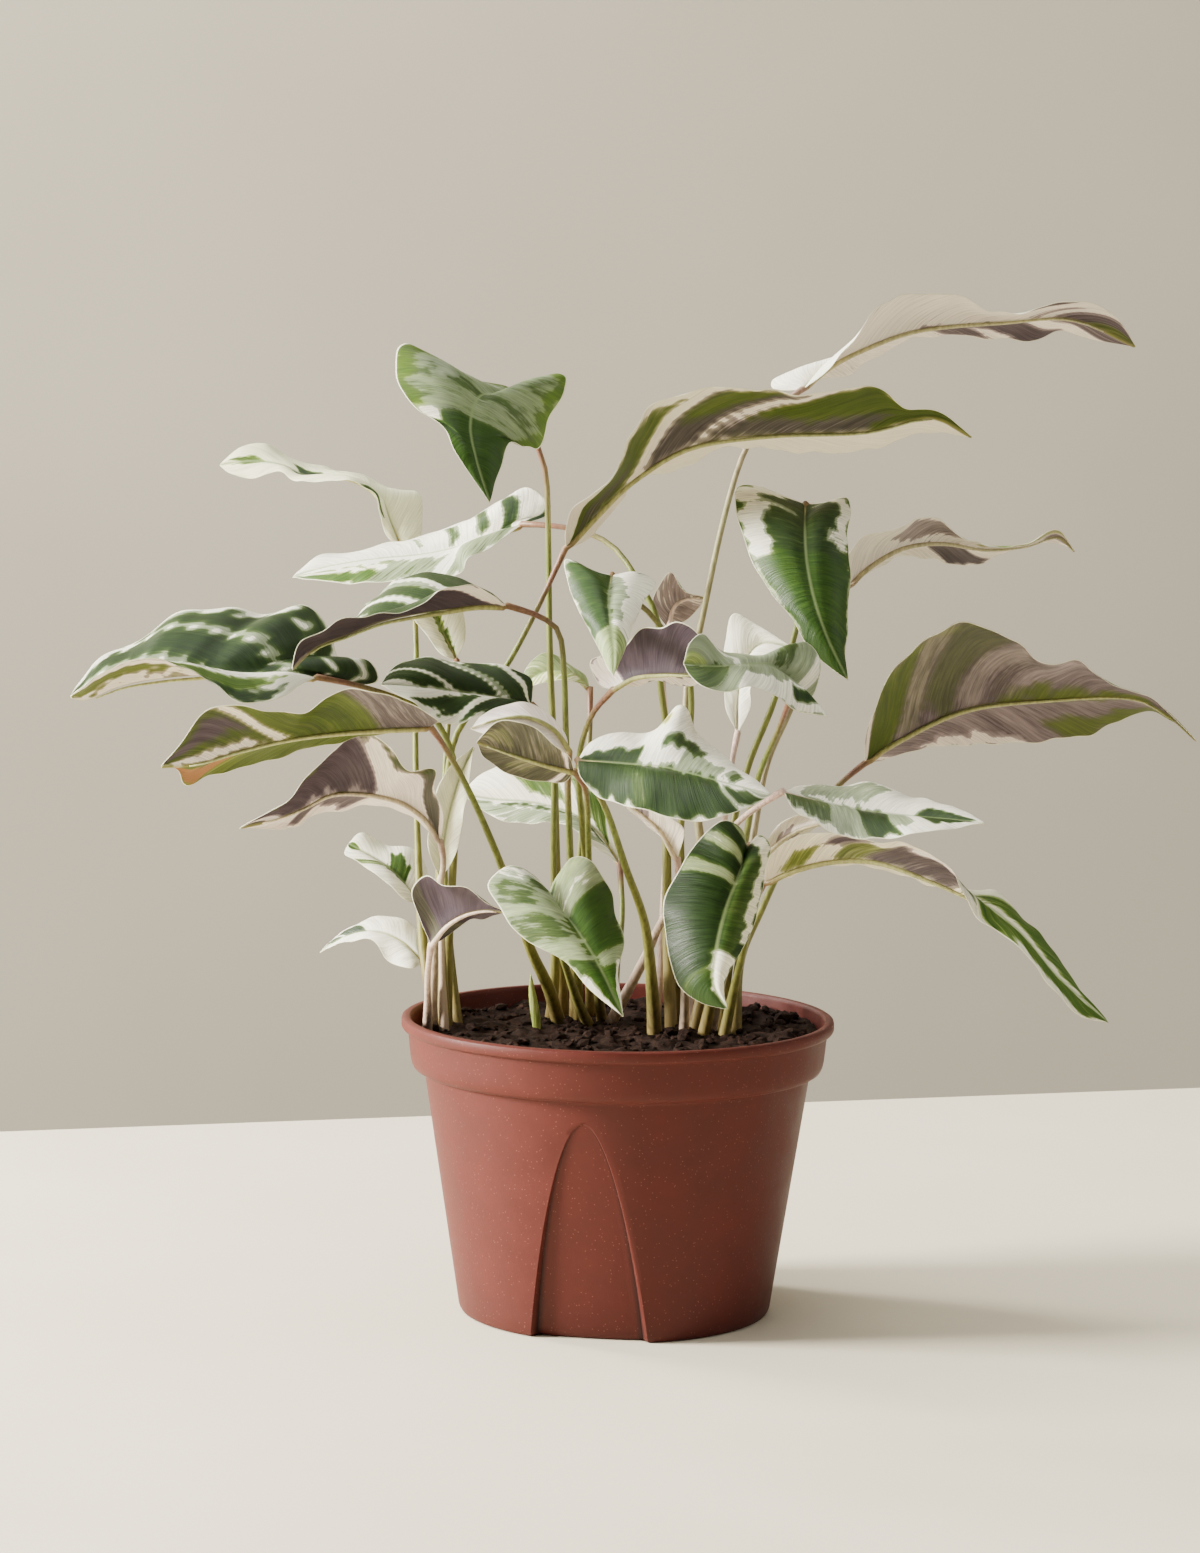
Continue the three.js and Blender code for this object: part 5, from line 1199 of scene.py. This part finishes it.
plan("plum_arch", foot=(-9, 37), push=-10, stout=1.7, fray=0.5, green=0.8,
     stalk=[(-10, 28, 120), (-12, 16, 157), (-14.5, 2, 184), (-14, -8, 196), (-10, -18, 208)],
     rib=[(-3, -25, 216.5), (5, -28, 221), (15, -32, 222), (24, -36, 222), (32, -38, 224)],
     left=[(4, -20, 218), (12, -22, 219.5), (20, -26, 218), (28, -32, 220)],
     right=[(-8, -22, 218), (-11, -22, 226), (-5, -25, 229), (1, -30, 232), (6, -34, 238),
            (13, -37, 238), (19, -39, 240), (26, -40, 236)],
     paint=[(-0.2, 0.12, -1, 1, 0.15), (0, 1, -1, -0.5, 0.1), (0.7, 1, 0, 1, 0.62, 0.3)])
print("planned:", ", ".join(leaf["name"] for leaf in LEAVES[-3:]))

# %% More folded leaves
plan("grey_right", foot=(35, 7), push=-14, stout=1.7, fray=0.5, green=0.44,
     stalk=[(38, 6, 120), (42, -4, 155), (47, -14, 185), (54, -26, 203)],
     rib=[(58, -38, 214), (52, -42, 225), (42, -47, 226), (32, -51, 225), (21, -55, 226)],
     left=[(64, -42, 212), (71, -46, 208), (60, -50, 210.5), (52, -54, 215), (44, -58, 218),
           (36, -60, 216.5), (28, -60, 217.5), (23, -57, 222)],
     right=[(66, -32, 215), (68, -28, 226), (62, -26, 234), (54, -28, 229), (44, -32, 229),
            (35, -38, 230), (28, -46, 236), (23, -52, 233)],
     paint=[(0, 0.5, -1, -0.4, 0.08), (0.05, 0.2, -0.8, -0.5, 0.85), (0, 0.08, 0, 1, 0.1),
            (0.2, 0.3, 0.2, 1, 0.56), (0.8, 1, 0, 1, 0.42, 0.8), (0.55, 0.6, -0.2, 1, 0.25),
            (0.62, 0.9, -1, 0, 0.6)])
plan("cream_back", foot=(25, 15), push=28, stout=1.5, joined=True, green=0.04, blush=0.8,
     stalk=[(28, 13, 130), (35, 10, 165), (38, 7, 190)],
     rib=[(40, 5, 202), (40, 8, 214), (42, 10, 226), (48, 10, 233), (58, 6, 232)],
     left=[(36, 6, 210), (35, 10, 220), (35, 12, 232), (38, 12, 243), (47, 10, 239)],
     right=[(44, 4, 210), (45, 4, 219), (48, 4, 226), (54, 4, 229)],
     paint=[])
plan("olive_centre", foot=(-5, 30), push=-18, stout=1.6, green=0.62, yellow=0.35,
     stalk=[(-7, 12, 112), (-10, -8, 140), (-11, -28, 165), (-12, -40, 181)],
     rib=[(-16, -48, 188), (-26, -52, 190.5), (-38, -56, 194), (-50, -58, 198)],
     left=[(-18, -56, 193), (-26, -62, 200), (-34, -64, 205), (-43, -62, 205)],
     right=[(-20, -47, 184), (-28, -46, 184.5), (-39, -48, 187), (-47, -54, 192)],
     paint=[(0, 0.08, -1, 1, 0.2), (0.3, 0.5, 0.1, 0.7, 0.5, 0.5), (0.6, 0.8, -0.8, -0.2, 0.5, 0.6)])
print("planned:", ", ".join(leaf["name"] for leaf in LEAVES[-3:]))

# %% The small leaves behind
plan("pink_centre", foot=(-14, 23), push=-10, stout=1.6, green=0.12,
     stalk=[(-14, 12, 115), (-16, -6, 145), (-18, -22, 172)],
     rib=[(-18, -36, 194), (-24, -38, 202), (-33, -40, 206), (-43, -42, 205), (-52, -43, 202)],
     left=[(-20, -33, 202), (-28, -31, 210), (-40, -33, 211), (-48, -38, 207)],
     right=[(-24, -41, 197), (-34, -45, 200), (-44, -46, 200)],
     paint=[])
plan("green_back", foot=(0, 35), push=30, stout=1.6, joined=True, green=0.1,
     stalk=[(-1, 28, 115), (1, 25, 138)],
     rib=[(0, 22, 156), (-7, 25, 166), (-16, 28, 173), (-30, 33, 177), (-44, 38, 178), (-55, 42, 180)],
     left=[(-10, 20, 163), (-20, 24, 170), (-31, 28, 169.5), (-42, 32, 171), (-50, 38, 176)],
     right=[(-2, 24, 166), (-6, 27, 178), (-14, 32, 186), (-26, 38, 188), (-38, 42, 190),
            (-48, 44, 187)],
     paint=[(0.05, 0.3, 0.2, 0.95, 0.62, 0.5), (0.38, 0.58, 0.2, 0.95, 0.6, 0.6),
            (0.05, 0.8, -1, -0.35, 0.42), (-0.1, 0.7, -0.3, -0.12, 0.7)])
plan("small_arch", foot=(-14, 42), push=26, stout=1.4, joined=True, green=0.4, yellow=0.5,
     stalk=[(-16, 42, 130), (-13, 38, 170), (-11, 34, 200)],
     rib=[(-11, 30, 217), (-17, 30, 222), (-24, 30, 223), (-30, 30, 221), (-35, 30, 216)],
     left=[(-17, 26, 219), (-24, 26, 219.5), (-30, 27, 217.5)],
     right=[(-13, 34, 222), (-20, 36, 226), (-27, 36, 229), (-33, 33, 224)],
     paint=[(0, 1, -1, -0.2, 0.3, 0.9)])
plan("cream_left", foot=(-56, 19), push=28, stout=1.5, joined=True, green=0.05, yellow=0.5,
     stalk=[(-59, 22, 130), (-61, 24, 165), (-60, 25, 200)],
     rib=[(-57, 25, 226), (-61, 28, 234), (-66, 30, 243), (-72, 32, 250), (-80, 34, 256)],
     left=[(-62, 24, 228), (-69, 26, 236), (-74, 27, 243), (-79, 29, 249)],
     right=[(-54, 28, 234), (-55, 31, 243), (-60, 35, 252), (-70, 37, 258)],
     paint=[(-0.2, 1, -0.2, 0.2, 0.6, 0.8)])
plan("rolled", foot=(-60, 2), push=2, stout=1.4, joined=True, green=0.15, yellow=0.4, blush=0.6,
     stalk=[(-61, 1, 115)],
     rib=[(-62, 0, 150), (-60, -4, 168), (-56, -6, 184), (-51, -7, 196)],
     left=[(-66, -6, 160), (-65, -8, 174), (-60, -9, 188)],
     right=[(-57, -5, 158), (-54, -8, 172), (-52, -9, 186)],
     paint=[])
print("planned:", ", ".join(leaf["name"] for leaf in LEAVES[-5:]))

# %% [markdown]
# ## Growing the plant
# With the plan complete, every leaf is made the same way: first the blade, which gives the middle of
# its rib, and then the stalk that runs under it.

# %% Grow every leaf
for leaf in LEAVES:
    grow_stalk(leaf, *grow_blade(leaf))
print("leaves grown:", len(LEAVES))

# %% [markdown]
# ## The new shoot
# A young leaf comes up rolled into a spear. It is a small closed tube with a pointed tip, and a
# yellow-green finish with darker lines along it.

# %% The new shoot
SHOOT, tree, shader = finish_named("yellow-green shoot", 0.4)
place = node(tree, "TexCoord").outputs["Object"]
stretch = node(tree, "Mapping", Scale=(1500, 1500, 90))
lines = node(tree, "TexNoise", Scale=1.0, Detail=3.0)
tone = ramp(tree, (0.3, (0.16, 0.22, 0.03)), (0.55, (0.38, 0.45, 0.10)), (0.7, (0.55, 0.58, 0.22)))
wire(tree, (place, stretch.inputs[0]), (stretch.outputs[0], lines.inputs["Vector"]),
     (lines.outputs[0], tone.inputs[0]), (tone.outputs[0], shader.inputs["Base Color"]))
spear = curve_through([(-28, 8, 88), (-28, 8, 93.5), (-28.5, 8, 100), (-30, 8, 110), (-30.5, 8, 116)])
share = np.linspace(0, 1, 25)
fat = np.interp(share, [0, 0.2, 0.45, 0.7, 0.9, 1], [1.2, 1.1, 1.7, 1.45, 0.75, 0.12])
piece("shoot_spear", tube(spear(share), fat), "shoot", [SHOOT], "new_shoot")
print("the shoot is", round(spear.length), "mm long")
